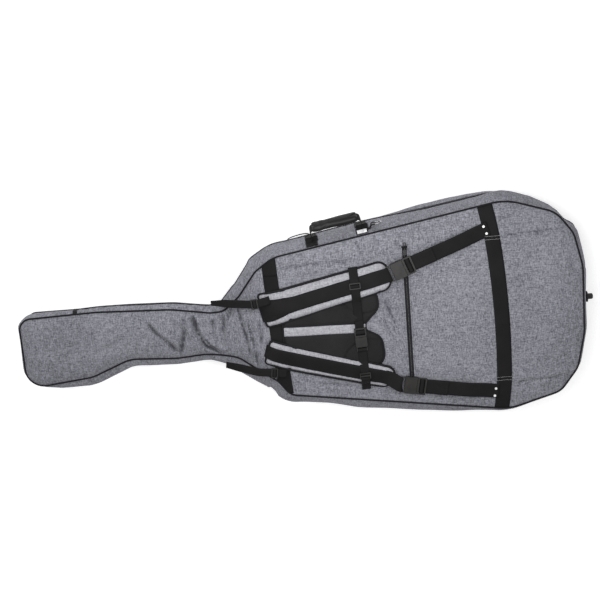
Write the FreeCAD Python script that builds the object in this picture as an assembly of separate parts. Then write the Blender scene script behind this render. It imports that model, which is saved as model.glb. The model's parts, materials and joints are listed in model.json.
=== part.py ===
import FreeCAD, Part
import math
import os

# Padded gig bag for a double bass, lying on its front panel with the harness side up.
# Millimetres. +X runs from the head to the bottom end, +Z points up out of the back panel,
# and the origin lies on the front panel's outer face, at mid-length on the body's centre line.

V = FreeCAD.Vector

# ---- Outline of the two panels, seen from above: (x, y, corner radius) -----------------------
BOTTOM_X = 952.0            # bottom end of the bag
BOTTOM_HALF = 175.0         # where the flat bottom end starts to round
CORNER_X = 880.0            # lower corner of the bout
CORNER_HALF = 312.0
LOWER_BOUT_X = 690.0        # widest place
LOWER_BOUT_HALF = 368.0
SHOULDER_X = -70.0          # upper end of the straight sides
SHOULDER_HALF = 240.0
HEAD_X = -960.0             # far end of the head
NECK_UP = 63.0              # neck edges either side of y = 0; the neck droops towards -Y
NECK_DOWN = 104.0
HEAD_UP = 72.0
HEAD_DOWN = 176.0

# ---- Depths and heights ----------------------------------------------------------------------
BODY_DEPTH = 235.0          # back panel of the body above the floor
NECK_DEPTH = 150.0          # back of the neck above the floor
SLOPE_X = -150.0            # where the back starts to drop towards the neck
FOLD_X = -315.0             # line across the neck where the back folds open
CREST_RADIUS = 120.0
ZIP_Z = 90.0                # height of the main zipper
FOLD_GAP = 0.6              # each side of the fold line

# ---- Wall layers -----------------------------------------------------------------------------
GUSSET_PROUD = 30.0         # gusset stands this far outside the panel outline
SLUMP = 14.0                # the walls lean towards -Y by this much
FABRIC = 2.0
FOAM = 12.0
GUSSET_FOAM = 10.0
LINING = 1.0
PIPING = 5.0

# ---- Main zipper -----------------------------------------------------------------------------
TAPE_HALF = 12.0            # tape from the zip line to the gusset fabric
TAPE_THICK = 1.6
COIL_GAP = 1.6              # between the two rows of coil
COIL_HEIGHT = 3.0
COIL_PROUD = 1.0
COIL_BACK = 2.4
FOAM_TO_ZIP = 6.0
HEAD_STOP_X = -770.0        # head end of the zipper
SLIDER_START = 340.0        # distance of the first slider from the shoulder, along the side
SLIDER_PITCH = 34.0
SLIDER_LENGTH = 22.0
SLIDER_HEIGHT = 13.0
SLIDER_PLATE = 2.4
SLIDER_CLEAR = 0.6
SLIDER_WEB = 0.8
PULL_LENGTH = 34.0
PULL_WIDTH = 9.0
PULL_THICK = 2.2
PIN_RADIUS = 1.3
PIN_CLEAR = 0.25

# ---- Webbing and hardware --------------------------------------------------------------------
WEB = 2.0                   # thickness of one layer of webbing
BAND = 3.4                  # cross bands, of doubled webbing
STRAP_WIDTH = 50.0
LIFTER_WIDTH = 28.0
LOCK_ALONG = 32.0           # of a lifter's ladder lock from the pad
CHEST_WIDTH = 30.0
UPPER_BAND_X = -85.0
UPPER_BAND_WIDTH = 46.0
LOWER_BAND_X = 657.0
LOWER_BAND_WIDTH = 52.0
BUCKLE_HEIGHT = 13.0
BUCKLE_WALL = 2.5
BUCKLE_SIDE = 5.0
BUCKLE_CLEAR = 0.6
RIVET_RADIUS = 4.2
RIVET_HEIGHT = 2.0
RIVET_INSET = 12.0          # from the end of the strap
RIVET_OFFSET = 13.0         # each side of the strap's middle

# ---- Harness: cushion, shoulder pads, straps -------------------------------------------------
CUSHION_THICK = 12.0
PAD_THICK = 14.0
PAD_GAP = 1.0
PAD_A = ((-122.0, 56.0), (290.0, 153.6))
PAD_B = ((-119.0, -88.0), (297.0, -217.0))
LIFTER_A = (-118.0, 98.0)       # where each load lifter leaves its pad
LIFTER_B = (-72.0, -161.0)
PAD_WIDTH_A = (104.0, 88.0)
PAD_WIDTH_B = (84.0, 74.0)
MOUTH_A = (355.0, 175.0)
MOUTH_B = (373.0, -242.0)
ANCHOR_A = (640.0, 280.0)
ANCHOR_B = (652.0, -296.0)
BUCKLE_RISE = 13.5          # underside of the strap buckles above the back panel
STRAND_LEVEL = 200.0        # length of strap that runs level from the buckle
TAIL_LENGTH = 106.0
CHEST_TOP = (184.0, 190.0)      # the chest strap's line runs between these two
CHEST_BOTTOM = (203.0, -240.0)
CHEST_MOUTH_Y = -52.0
CHEST_RISE = 15.6           # underside of the chest buckle above the back panel
CHEST_Z = BODY_DEPTH + CHEST_RISE
CHEST_TAIL = 34.0

# ---- Harness pocket zipper -------------------------------------------------------------------
POCKET_X = 360.0
POCKET_TOP_Y = 240.0
POCKET_BOTTOM_Y = -238.0
POCKET_TAPE = 17.0
POCKET_COIL = 4.0
POCKET_SLIDER_Y = 222.0
CORD_RADIUS = 1.2
CORD_X = 11.8               # the cord's pivot in the slider's eye, ahead of the slider's middle
CORD_Z = 6.2
EYE_HOLE = 1.9              # radius of the slider's eye
EYE_HALF = 1.4              # half its thickness

# ---- Handles, ring, bumper -------------------------------------------------------------------
HANDLE_FEET = (136.0, 308.0)    # distances from the shoulder, along the +Y side
FOOT_WIDTH = 40.0
HANDLE_Z = 178.0
HANDLE_WEB_WIDTH = 34.0
HANDLE_REACH = 46.0
HANDLE_TILT = 30.0          # degrees that the handle leans up from square to the wall
WRAP_LENGTH = 152.0
WRAP_SECTION = (26.0, 40.0)
RING_AT = 350.0
RING_Z = 192.0
RING_WIRE = 2.2
RING_WIDTH = 26.0
RING_LENGTH = 22.0
GRAB_A = (34.0, 150.0)          # grab handles on the front half, along each side
GRAB_B = (12.0, 150.0)
GRAB_Z = 42.0
GRAB_WIDTH = 26.0
GRAB_REACH = 20.0
BUMPER_Z = 132.0
BUMPER_RADIUS = 10.0
BUMPER_LENGTH = 22.0

FAR = 1400.0


def rounded_wire(corners, z=0.0):
    """Closed wire of straight runs and tangent arcs through (x, y, radius) corners."""
    count = len(corners)
    starts, arcs = [], []
    for i, (x, y, radius) in enumerate(corners):
        here = V(x, y, z)
        before = V(corners[i - 1][0], corners[i - 1][1], z) - here
        after = V(corners[(i + 1) % count][0], corners[(i + 1) % count][1], z) - here
        before.normalize()
        after.normalize()
        half = before.getAngle(after) / 2
        if radius <= 0:
            starts.append((here, here))
            arcs.append(None)
            continue
        back = radius / math.tan(half)
        a, b = here + before * back, here + after * back
        middle = before + after
        middle.normalize()
        top = here + middle * (radius / math.sin(half) - radius)
        starts.append((a, b))
        arcs.append(Part.Arc(a, top, b).toShape())
    edges = []
    for i in range(count):
        if arcs[i]:
            edges.append(arcs[i])
        a, b = starts[i][1], starts[(i + 1) % count][0]
        if a.distanceToPoint(b) > 1e-6:
            edges.append(Part.makeLine(a, b))
    return Part.Wire(Part.__sortEdges__(edges))


def panel_corners():
    """Corners of the back panel, from the bottom end along +Y to the head and back."""
    return [
        (BOTTOM_X, BOTTOM_HALF, 150.0),
        (CORNER_X, CORNER_HALF, 60.0),
        (LOWER_BOUT_X, LOWER_BOUT_HALF, 160.0),
        (SHOULDER_X, SHOULDER_HALF, 110.0),
        (-262.0, 36.0, 50.0),
        (-400.0, NECK_UP, 150.0),
        (HEAD_X, HEAD_UP, 45.0),
        (HEAD_X, -HEAD_DOWN, 75.0),
        (-690.0, -HEAD_DOWN + 26.0, 160.0),
        (-555.0, -NECK_DOWN + 6.0, 140.0),
        (-222.0, -NECK_DOWN - 12.0, 90.0),
        (SHOULDER_X, -SHOULDER_HALF, 90.0),
        (LOWER_BOUT_X, -LOWER_BOUT_HALF, 160.0),
        (CORNER_X, -CORNER_HALF, 60.0),
        (BOTTOM_X, -BOTTOM_HALF, 150.0),
    ]


PANEL_WIRE = rounded_wire([(x, y - SLUMP, radius) for x, y, radius in panel_corners()])


def outline(inward):
    """The gusset's outer outline, moved inward by a distance."""
    return PANEL_WIRE.makeOffset2D(GUSSET_PROUD - inward)


def prism(wire, low, high):
    face = Part.Face(wire)
    face.translate(V(0, 0, low))
    return face.extrude(V(0, 0, high - low))


def ring(outer_inward, inner_inward, low, high):
    """A wall that follows the outline, between two distances inside the gusset's face."""
    return prism(outline(outer_inward), low, high).cut(prism(outline(inner_inward), low - 1, high + 1))


def back_line(shift):
    """Side view of the back's outer surface, moved up by a shift, as edges from head to bottom."""
    fold, crest = V(FOLD_X, 0, NECK_DEPTH + shift), V(SLOPE_X, 0, BODY_DEPTH + shift)
    start, end = V(-FAR, 0, NECK_DEPTH + shift), V(FAR, 0, BODY_DEPTH + shift)
    slope = crest - fold
    slope.normalize()
    turn = math.atan2(slope.z, slope.x)
    back = CREST_RADIUS * math.tan(turn / 2)
    a, b = crest - slope * back, crest + V(back, 0, 0)
    centre = b - V(0, 0, CREST_RADIUS)
    top = centre + V(-math.sin(turn / 2), 0, math.cos(turn / 2)) * CREST_RADIUS
    crest_arc = Part.Arc(a, top, b).toShape()
    return [Part.makeLine(start, fold), Part.makeLine(fold, a), crest_arc, Part.makeLine(b, end)]


def back_slab(low, high):
    """The layer between two shifts of the back's outer surface, over the whole plan."""
    lower, upper = back_line(low), back_line(high)
    ends = [
        Part.makeLine(lower[0].Vertexes[0].Point, upper[0].Vertexes[0].Point),
        Part.makeLine(lower[-1].Vertexes[-1].Point, upper[-1].Vertexes[-1].Point),
    ]
    face = Part.Face(Part.Wire(Part.__sortEdges__(lower + upper + ends)))
    face.translate(V(0, -FAR, 0))
    return face.extrude(V(0, 2 * FAR, 0))


def x_block(low, high):
    return Part.makeBox(high - low, 2 * FAR, FAR, V(low, -FAR, -1))


LID_BLOCK = x_block(FOLD_X + FOLD_GAP, FAR)
NECK_BLOCK = x_block(-FAR, FOLD_X - FOLD_GAP)


def merged(shape):
    """Removes the seams that a fuse leaves between faces in one plane."""
    return shape.removeSplitter()


def strips(shape, cuts, end_cuts):
    """Foam wall cut into butted strips by planes across X, and its ends by planes across Y."""
    pieces = []
    edges = [-FAR] + sorted(cuts) + [FAR]
    for low, high in zip(edges, edges[1:]):
        band = shape.common(x_block(low, high))
        is_end = low == -FAR or high == FAR
        rows = [-FAR] + sorted(end_cuts) + [FAR] if is_end else [-FAR, FAR]
        for near, far in zip(rows, rows[1:]):
            block = Part.makeBox(2 * FAR, far - near, FAR, V(-FAR, near, -1))
            pieces += [s for s in band.common(block).Solids if s.Volume > 1.0]
    return Part.makeCompound(pieces)


FOAM_CUTS = [
    -910.0, -760.0, -640.0, -480.0, -330.0, -250.0, -190.0, -110.0, -50.0, 20.0, 330.0, 640.0, 740.0, 830.0
]
END_CUTS = [-250.0, -110.0, 0.0, 110.0, 250.0]


# ---- Shell, front half -----------------------------------------------------------------------
def front_panel():
    return prism(outline(0), 0, FABRIC)


def front_panel_foam():
    return prism(outline(FABRIC), FABRIC, FABRIC + FOAM)


def front_gusset_fabric():
    return ring(0, FABRIC, FABRIC, ZIP_Z - TAPE_HALF)


def front_gusset_foam():
    wall = ring(FABRIC, FABRIC + GUSSET_FOAM, FABRIC + FOAM, ZIP_Z - FOAM_TO_ZIP)
    return strips(wall, FOAM_CUTS, END_CUTS)


def front_lining():
    depth = FABRIC + GUSSET_FOAM
    floor = FABRIC + FOAM
    tray = prism(outline(depth), floor, ZIP_Z - FOAM_TO_ZIP)
    return tray.cut(prism(outline(depth + LINING), floor + LINING, ZIP_Z))


# ---- Shell, neck hood ------------------------------------------------------------------------
def hood_layer(outer, inner, low, bottom):
    """One layer of the closed neck: its back and both sides as one sewn hood."""
    whole = prism(outline(outer), bottom, FAR).common(back_slab(-FAR, -low))
    hollow = prism(outline(inner), bottom - 1, FAR).common(back_slab(-FAR, -low - (inner - outer)))
    return whole.cut(hollow).common(NECK_BLOCK)


def plain_side_block():
    """The part of the neck and head that the zipper doesn't reach."""
    head = x_block(-FAR, HEAD_STOP_X)
    lower_side = Part.makeBox(FAR, FAR, FAR, V(-FAR, -FAR - 30.0, -1)).common(NECK_BLOCK)
    return head.fuse(lower_side)


def neck_hood_fabric():
    hood = hood_layer(0, FABRIC, 0, ZIP_Z + TAPE_HALF)
    skirt = ring(0, FABRIC, ZIP_Z - TAPE_HALF, ZIP_Z + TAPE_HALF).common(NECK_BLOCK)
    return merged(hood.fuse(skirt.common(plain_side_block())))


def neck_hood_foam():
    back = prism(outline(FABRIC), 0, FAR).common(back_slab(-FABRIC - FOAM, -FABRIC)).common(NECK_BLOCK)
    sides = ring(FABRIC, FABRIC + GUSSET_FOAM, ZIP_Z + FOAM_TO_ZIP, FAR)
    sides = sides.common(back_slab(-FAR, -FABRIC - FOAM)).common(NECK_BLOCK)
    backs = [back.common(x_block(low, high)) for low, high in ((-FAR, -690), (-690, -540), (-540, FAR))]
    return Part.makeCompound([b for b in backs] + strips(sides, FOAM_CUTS, END_CUTS).Solids)


def neck_hood_lining():
    depth = FABRIC + GUSSET_FOAM
    return hood_layer(depth, depth + LINING, FABRIC + FOAM, ZIP_Z + FOAM_TO_ZIP)


def front_and_neck_piping():
    """Corded edge round the front panel, and the one round the closed neck's back."""
    front = ring(-PIPING, 0, 1.0, 1.0 + PIPING)
    neck = ring(-PIPING, 0, 0, FAR).common(back_slab(-1.0 - PIPING, -1.0))
    return Part.makeCompound([front, neck.common(x_block(-FAR, FOLD_X - 2 * PIPING))])


# ---- Shell, back half ------------------------------------------------------------------------
def back_panel():
    return prism(outline(0), 0, FAR).common(back_slab(-FABRIC, 0)).common(LID_BLOCK)


def back_panel_foam():
    whole = prism(outline(FABRIC), 0, FAR).common(back_slab(-FABRIC - FOAM, -FABRIC)).common(LID_BLOCK)
    cuts = ((-FAR, -190), (-190, -120), (-120, FAR))
    return Part.makeCompound([whole.common(x_block(low, high)) for low, high in cuts])


def back_gusset_fabric():
    wall = ring(0, FABRIC, ZIP_Z + TAPE_HALF, FAR)
    return wall.common(back_slab(-FAR, -FABRIC)).common(LID_BLOCK)


def back_gusset_foam():
    wall = ring(FABRIC, FABRIC + GUSSET_FOAM, ZIP_Z + FOAM_TO_ZIP, FAR)
    wall = wall.common(back_slab(-FAR, -FABRIC - FOAM)).common(LID_BLOCK)
    return strips(wall, [c for c in FOAM_CUTS if c > FOLD_X], END_CUTS)


def back_lining():
    depth = FABRIC + GUSSET_FOAM
    whole = prism(outline(depth), ZIP_Z + FOAM_TO_ZIP, FAR).common(back_slab(-FAR, -FABRIC - FOAM))
    hollow = prism(outline(depth + LINING), 0, FAR).common(back_slab(-FAR, -FABRIC - FOAM - LINING))
    return whole.cut(hollow).common(LID_BLOCK)


def back_piping():
    wall = ring(-PIPING, 0, 0, FAR).common(back_slab(-1.0 - PIPING, -1.0))
    return wall.common(x_block(FOLD_X + 4 * PIPING, FAR))


# ---- Main zipper -----------------------------------------------------------------------------
def chain(side):
    """Tape and coil of one half of the zipper: side is -1 below the zip line and 1 above it."""
    near = ZIP_Z + side * COIL_GAP / 2
    coil_far = near + side * COIL_HEIGHT
    tape_far = ZIP_Z + side * TAPE_HALF
    coil = ring(-COIL_PROUD, COIL_BACK, min(near, coil_far), max(near, coil_far))
    tape = ring(0, TAPE_THICK, min(coil_far, tape_far), max(coil_far, tape_far))
    return coil.fuse(tape)


def zipper_front():
    return chain(-1).cut(plain_side_block())


def zipper_neck_back():
    return chain(1).common(NECK_BLOCK).cut(plain_side_block())


def zipper_back():
    return chain(1).common(LID_BLOCK)


def frame_at(shape, origin, along, up=V(0, 0, 1)):
    """Moves a shape from its own axes to an origin, its X along a direction and its Z near up."""
    x = V(along)
    x.normalize()
    y = V(up).cross(x)
    y.normalize()
    z = x.cross(y)
    rows = [(x.x, y.x, z.x, origin.x), (x.y, y.y, z.y, origin.y), (x.z, y.z, z.z, origin.z), (0, 0, 0, 1)]
    matrix = FreeCAD.Matrix(*rows[0], *rows[1], *rows[2], *rows[3])
    return placed(shape, matrix)


def placed(shape, matrix):
    moved = shape.copy()
    moved.Placement = FreeCAD.Placement(matrix).multiply(shape.Placement)
    return moved


def side_line(sign):
    """Start point, direction and outward normal of the gusset's straight face on one side."""
    along = V(LOWER_BOUT_X - SHOULDER_X, sign * (LOWER_BOUT_HALF - SHOULDER_HALF), 0)
    along.normalize()
    normal = V(-along.y, along.x, 0) * sign
    start = V(SHOULDER_X, sign * SHOULDER_HALF - SLUMP, 0) + normal * GUSSET_PROUD
    return start, along, normal


def on_side(shape, sign, distance, z):
    """Places a shape drawn with X along the side, Y outward and Z up on the gusset's face."""
    start, along, normal = side_line(sign)
    origin = start + along * distance + V(0, 0, z)
    matrix = FreeCAD.Matrix(
        along.x, normal.x, 0, origin.x, along.y, normal.y, 0, origin.y, 0, 0, 1, origin.z, 0, 0, 0, 1
    )
    if sign > 0:
        return placed(shape, matrix)
    mirrored = shape.mirror(V(0, 0, 0), V(0, 1, 0))
    flipped = FreeCAD.Matrix(
        along.x, -normal.x, 0, origin.x, along.y, -normal.y, 0, origin.y, 0, 0, 1, origin.z, 0, 0, 0, 1
    )
    return placed(Part.makeCompound([mirrored]), flipped)


def block(x0, x1, y0, y1, z0, z1):
    return Part.makeBox(x1 - x0, y1 - y0, z1 - z0, V(x0, y0, z0))


PIN_Y = COIL_PROUD + SLIDER_CLEAR + SLIDER_PLATE + 3.6      # pull's pin, out from the gusset's face
INNER_PLATE = 1.6
LUG = 2.6                   # thickness of the two lugs that hold the pin
LUG_RADIUS = 4.5
PULL_WINDOW = 2.2


def main_slider():
    """Slider with an outer and an inner plate, joined through the gap between the coils."""
    out_low = COIL_PROUD + SLIDER_CLEAR
    out_high = out_low + SLIDER_PLATE
    in_high = -COIL_BACK - SLIDER_CLEAR
    half = SLIDER_LENGTH / 2
    outer = block(-half, half, out_low, out_high, -SLIDER_HEIGHT / 2, SLIDER_HEIGHT / 2)
    outer = outer.makeFillet(2.5, [e for e in outer.Edges if abs(e.tangentAt(0).y) > 0.9])
    inner = block(-half, half, in_high - INNER_PLATE, in_high, -4.0, 4.0)
    web = block(-half + 2, half - 2, in_high - 0.5, out_low + 0.5, -SLIDER_WEB / 2, SLIDER_WEB / 2)
    low = -SLIDER_HEIGHT / 2
    lug = block(-LUG_RADIUS, LUG_RADIUS, out_high - 0.4, PIN_Y, low, low + LUG)
    round_lug = Part.makeCylinder(LUG_RADIUS, LUG, V(0, PIN_Y, low))
    lugs = lug.fuse(round_lug)
    lugs = lugs.fuse(lugs.mirror(V(0, 0, 0), V(0, 0, 1)))
    pin = Part.makeCylinder(PIN_RADIUS, SLIDER_HEIGHT - 2, V(0, PIN_Y, -SLIDER_HEIGHT / 2 + 1))
    return merged(outer.fuse([inner, web, lugs, pin]))


def pull_tab(side):
    """Pull tab on the slider's pin, lying along the wall towards one side."""
    inner_half = SLIDER_HEIGHT / 2 - LUG - 0.4
    knuckle = Part.makeCylinder(3.1, 2 * inner_half, V(0, PIN_Y, -inner_half))
    arm = block(0, 12, PIN_Y - PULL_THICK / 2, PIN_Y + PULL_THICK / 2, -inner_half, inner_half)
    half = PULL_WIDTH / 2
    plate = block(8, PULL_LENGTH, PIN_Y - PULL_THICK / 2, PIN_Y + PULL_THICK / 2, -half, half)
    plate = plate.makeFillet(3.0, [e for e in plate.Edges if abs(e.tangentAt(0).y) > 0.9])
    hole = Part.makeCylinder(PIN_RADIUS + PIN_CLEAR, SLIDER_HEIGHT, V(0, PIN_Y, -SLIDER_HEIGHT / 2))
    window = Part.makeCylinder(PULL_WINDOW, 10, V(PULL_LENGTH - 6, PIN_Y - 5, 0), V(0, 1, 0))
    tab = merged(knuckle.fuse([arm, plate])).cut(hole).cut(window)
    return tab if side > 0 else tab.mirror(V(0, 0, 0), V(1, 0, 0))


def slider_distance(index):
    return SLIDER_START + index * SLIDER_PITCH


# ---- Webbing in a vertical plane -------------------------------------------------------------
def ribbon(start, end, path, width, thick):
    """A band of webbing. path holds (distance from start towards end, height of its underside)."""
    lower = [V(s, 0, z) for s, z in path]
    upper = []
    for i, p in enumerate(lower):
        normals = []
        for a, b in ((i - 1, i), (i, i + 1)):
            if a >= 0 and b < len(lower):
                d = lower[b] - lower[a]
                d.normalize()
                normals.append(V(-d.z, 0, d.x))
        mitre = normals[0] + normals[-1]
        mitre.normalize()
        upper.append(p + mitre * (thick / max(0.3, mitre.dot(normals[0]))))
    wire = Part.makePolygon(lower + upper[::-1] + [lower[0]])
    solid = Part.Face(wire).extrude(V(0, width, 0))
    solid.translate(V(0, -width / 2, 0))
    return frame_at(solid, V(start[0], start[1], 0), V(end[0] - start[0], end[1] - start[1], 0))


def distance(a, b):
    return math.hypot(b[0] - a[0], b[1] - a[1])


def towards(a, b, length):
    """The point on the line from a to b, at a length from a."""
    share = length / distance(a, b)
    return (a[0] + (b[0] - a[0]) * share, a[1] + (b[1] - a[1]) * share)


def bar_loop(bar, height, width):
    """Webbing wrapped once round a buckle's rear bar, which runs along Y at mid-height."""
    x0, x1 = bar[0] - LOOP_CLEAR, bar[1] + LOOP_CLEAR
    z0, z1 = height / 2 - BAR_HALF - LOOP_CLEAR, height / 2 + BAR_HALF + LOOP_CLEAR
    outer = block(x0 - WEB, x1 + WEB, -width / 2, width / 2, z0 - WEB, z1 + WEB)
    return outer.cut(block(x0, x1, -width, width, z0, z1))


# ---- Side-release buckle: X points out of the mouth, Z up, z = 0 under the housing -----------
BAR_HALF = 2.5              # half the height of the rear bar
LOOP_CLEAR = 0.3            # from the bar to the webbing round it
LAP = 0.6                   # overlap where webbing is sewn to itself
REAR_LENGTH = 14.0          # bar and slot behind the housing
BAR_WIDE = 7.2
SLOT_END = 1.0
CORNER = 5.0                # rounding of the housing's corners
END_WALL = 5.0              # housing's wall at its closed end
WINDOW_FROM, WINDOW_TO = 14.0, 9.0      # side openings, from the closed end and from the mouth
THUMB_NOTCH = 6.0
PRONG = 5.0
BARB = 6.0
BARB_LENGTH = 12.0
BASE_LENGTH = 6.4
LADDER_LOW = 2 * WEB + 0.8              # two layers of webbing pass under the ladder
LADDER_HIGH = LADDER_LOW + 4.2
LADDER_END = 32.0
INNER_SLOT = (7.0, 13.2)
OUTER_SLOT = (19.0, 26.6)
RISE_AT, FALL_AT = 9.6, 21.6            # where the tail goes up and down through the slots
TAIL_GAP = 0.3


def buckle_length(web):
    return 0.36 * web + 24.0


def buckle_female(web, height):
    wall, side = BUCKLE_WALL, BUCKLE_SIDE
    length, half = buckle_length(web), web / 2 + BUCKLE_SIDE
    shell = block(-length, 0, -half, half, 0, height)
    upright = [e for e in shell.Edges if abs(e.tangentAt(0).z) > 0.9 and e.CenterOfMass.x < -1]
    shell = shell.makeFillet(CORNER, upright)
    shell = shell.makeChamfer(1.0, [e for e in shell.Edges if abs(e.CenterOfMass.z - height) < 0.01])
    cavity = block(-length + END_WALL, 1, -half + side - 1, half - side + 1, wall, height - wall)
    low, high = wall + BUCKLE_CLEAR, height - wall - BUCKLE_CLEAR
    windows = block(-length + WINDOW_FROM, -WINDOW_TO, -half - 1, half + 1, low, high)
    notch = Part.makeCylinder(THUMB_NOTCH, height * 2, V(4.0, 0, height - wall - 0.2))
    shell = shell.cut(cavity).cut(windows).cut(notch)
    middle = height / 2
    rear = block(-length - REAR_LENGTH, -length + 2, -half + 2, half - 2, middle - BAR_HALF, middle + BAR_HALF)
    slot_half = web / 2 + BUCKLE_CLEAR
    rear = rear.cut(block(rear_bar(web)[1], -length - SLOT_END, -slot_half, slot_half, -1, height + 1))
    return merged(shell.fuse(rear.cut(cavity)))


def rear_bar(web):
    """X range of the bar behind the housing that the pad's webbing goes round."""
    end = -buckle_length(web) - REAR_LENGTH
    return (end, end + BAR_WIDE)


def buckle_male(web, height):
    wall, clear = BUCKLE_WALL, BUCKLE_CLEAR
    half = web / 2 + BUCKLE_SIDE
    low, high = wall + clear, height - wall - clear
    reach = buckle_length(web) - 8
    cavity_half = half - BUCKLE_SIDE + 1 - clear
    tongue = block(-reach + 4, 2, -web * 0.08, web * 0.08, low, high)
    prong_out = cavity_half - 3.5
    prong = block(-reach, 2, prong_out - PRONG, prong_out, low, high)
    barb = block(-reach + 3, -reach + 3 + BARB_LENGTH, cavity_half - BARB, cavity_half, low, high)
    barb = barb.makeFillet(2.5, [e for e in barb.Edges if abs(e.tangentAt(0).z) > 0.9])
    prongs = prong.fuse(barb)
    prongs = prongs.fuse(prongs.mirror(V(0, 0, 0), V(0, 1, 0)))
    base = block(clear, clear + BASE_LENGTH, -half + 1, half - 1, WEB + 0.4, height - 0.6)
    base = base.makeFillet(1.2, [e for e in base.Edges if abs(e.tangentAt(0).z) > 0.9])
    ladder = block(clear + BASE_LENGTH - 1, LADDER_END, -half, half, LADDER_LOW, LADDER_HIGH)
    outer_edges = [e for e in ladder.Edges if abs(e.tangentAt(0).z) > 0.9 and e.CenterOfMass.x > 10]
    ladder = ladder.makeFillet(2.0, outer_edges)
    slot_half = web / 2 + 0.8
    for x0, x1 in (INNER_SLOT, OUTER_SLOT):
        ladder = ladder.cut(block(x0, x1, -slot_half, slot_half, 0, height + 1))
    return merged(tongue.fuse([prongs, base, ladder]))


def adjuster_tail(web, length):
    """Free end of the strap: up round the ladder's inner bar, down, and out along the strand."""
    half, low, top = web / 2, WEB + TAIL_GAP, LADDER_HIGH + 0.4
    rise = block(RISE_AT, RISE_AT + WEB, -half, half, low, top + WEB)
    over = block(RISE_AT, FALL_AT + WEB, -half, half, top, top + WEB)
    down = block(FALL_AT, FALL_AT + WEB, -half, half, low, top + WEB)
    tail = block(FALL_AT, length, -half, half, low, low + WEB)
    return merged(rise.fuse([over, down, tail]))


STRAP_BUCKLES = {"a": (MOUTH_A, ANCHOR_A), "b": (MOUTH_B, ANCHOR_B)}
BUCKLE_Z = BODY_DEPTH + BUCKLE_RISE


def strap_axis(side):
    """Mouth point and direction of a strap buckle, down towards its anchor on the lower band."""
    mouth, anchor = STRAP_BUCKLES[side]
    return V(mouth[0], mouth[1], BUCKLE_Z), V(anchor[0] - mouth[0], anchor[1] - mouth[1], 0)


def in_strap(shape, side):
    start, along = strap_axis(side)
    return frame_at(shape, start, along)


def strap_strand(side):
    """Lower strap from the buckle's adjuster to the rivets on the lower band."""
    mouth, anchor = STRAP_BUCKLES[side]
    length = distance(mouth, anchor)
    foot = BODY_DEPTH + BAND
    path = [(8.0, BUCKLE_Z), (STRAND_LEVEL, BUCKLE_Z), (length - 2 * RIVET_INSET, foot), (length, foot)]
    return ribbon(mouth, anchor, path, STRAP_WIDTH, WEB)


BUCKLE_HEIGHT_CHEST = 12.0


def chest_axis():
    """Mouth point and direction of the chest buckle; its latch leaves towards strap a."""
    share = (CHEST_TOP[1] - CHEST_MOUTH_Y) / (CHEST_TOP[1] - CHEST_BOTTOM[1])
    x = CHEST_TOP[0] + (CHEST_BOTTOM[0] - CHEST_TOP[0]) * share
    return V(x, CHEST_MOUTH_Y, CHEST_Z), V(CHEST_TOP[0] - x, CHEST_TOP[1] - CHEST_MOUTH_Y, 0)


def in_chest(shape):
    start, along = chest_axis()
    return frame_at(shape, start, along)


# ---- Harness ---------------------------------------------------------------------------------
CUSHION_LOW = BODY_DEPTH
PAD_LOW = BODY_DEPTH + CUSHION_THICK + PAD_GAP
PAD_TOP = PAD_LOW + PAD_THICK
PADS = {"a": (PAD_A, PAD_WIDTH_A), "b": (PAD_B, PAD_WIDTH_B)}


def band(centre, width):
    strip = Part.makeBox(width, 2 * FAR, BAND, V(centre - width / 2, -FAR, BODY_DEPTH))
    return strip.common(prism(outline(0), 0, FAR))


def cushion():
    left = UPPER_BAND_X + UPPER_BAND_WIDTH / 2 + 1.0
    corners = [
        (left, 62.0, 6.0), (130.0, 104.0, 60.0), (264.0, 96.0, 30.0), (262.0, 40.0, 34.0), (212.0, -8.0, 10.0),
        (212.0, -38.0, 10.0), (262.0, -70.0, 36.0), (284.0, -150.0, 34.0), (240.0, -178.0, 30.0),
        (left, -112.0, 6.0),
    ]
    return prism(rounded_wire(corners), CUSHION_LOW, CUSHION_LOW + CUSHION_THICK)


def cushion_strip():
    left = UPPER_BAND_X + UPPER_BAND_WIDTH / 2 + 4.0
    corners = [(left, -8.0, 3.0), (208.0, -14.0, 3.0), (208.0, -36.0, 3.0), (left, -36.0, 3.0)]
    return prism(rounded_wire(corners), CUSHION_LOW + CUSHION_THICK, CUSHION_LOW + CUSHION_THICK + 1.5)


def shoulder_pad(side):
    (start, end), (wide, narrow) = PADS[side]
    length = distance(start, end)
    corners = [
        (0.0, wide / 2, 5.0), (length, narrow / 2, 34.0), (length, -narrow / 2, 34.0), (0.0, -wide / 2, 5.0)
    ]
    solid = prism(rounded_wire(corners), 0, PAD_THICK)
    solid = solid.makeFillet(3.0, [e for e in solid.Edges if abs(e.CenterOfMass.z - PAD_THICK) < 0.01])
    origin = V(start[0], start[1], PAD_LOW)
    return frame_at(solid, origin, V(end[0] - start[0], end[1] - start[1], 0))


def shoulder_webbing(side):
    """Webbing sewn along a pad, from the upper band to the buckle's rear bar."""
    (start, end), _ = PADS[side]
    mouth, along = strap_axis(side)
    unit = V(along)
    unit.normalize()
    bar = rear_bar(STRAP_WIDTH)
    bar_at = mouth + unit * bar[0]
    length = distance(start, (bar_at.x, bar_at.y))
    pad_length = distance(start, end)
    bar_top = BUCKLE_Z + BUCKLE_HEIGHT / 2 + BAR_HALF
    path = [(-14.0, BODY_DEPTH + BAND), (-3.0, PAD_TOP), (pad_length + 1.0, PAD_TOP)]
    path.append((length - 1.0, bar_top + 1.0))
    strip = ribbon(start, (bar_at.x, bar_at.y), path, STRAP_WIDTH, WEB)
    loop = in_strap(bar_loop(bar, BUCKLE_HEIGHT, STRAP_WIDTH), side)
    return merged(strip.fuse(loop))


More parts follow.
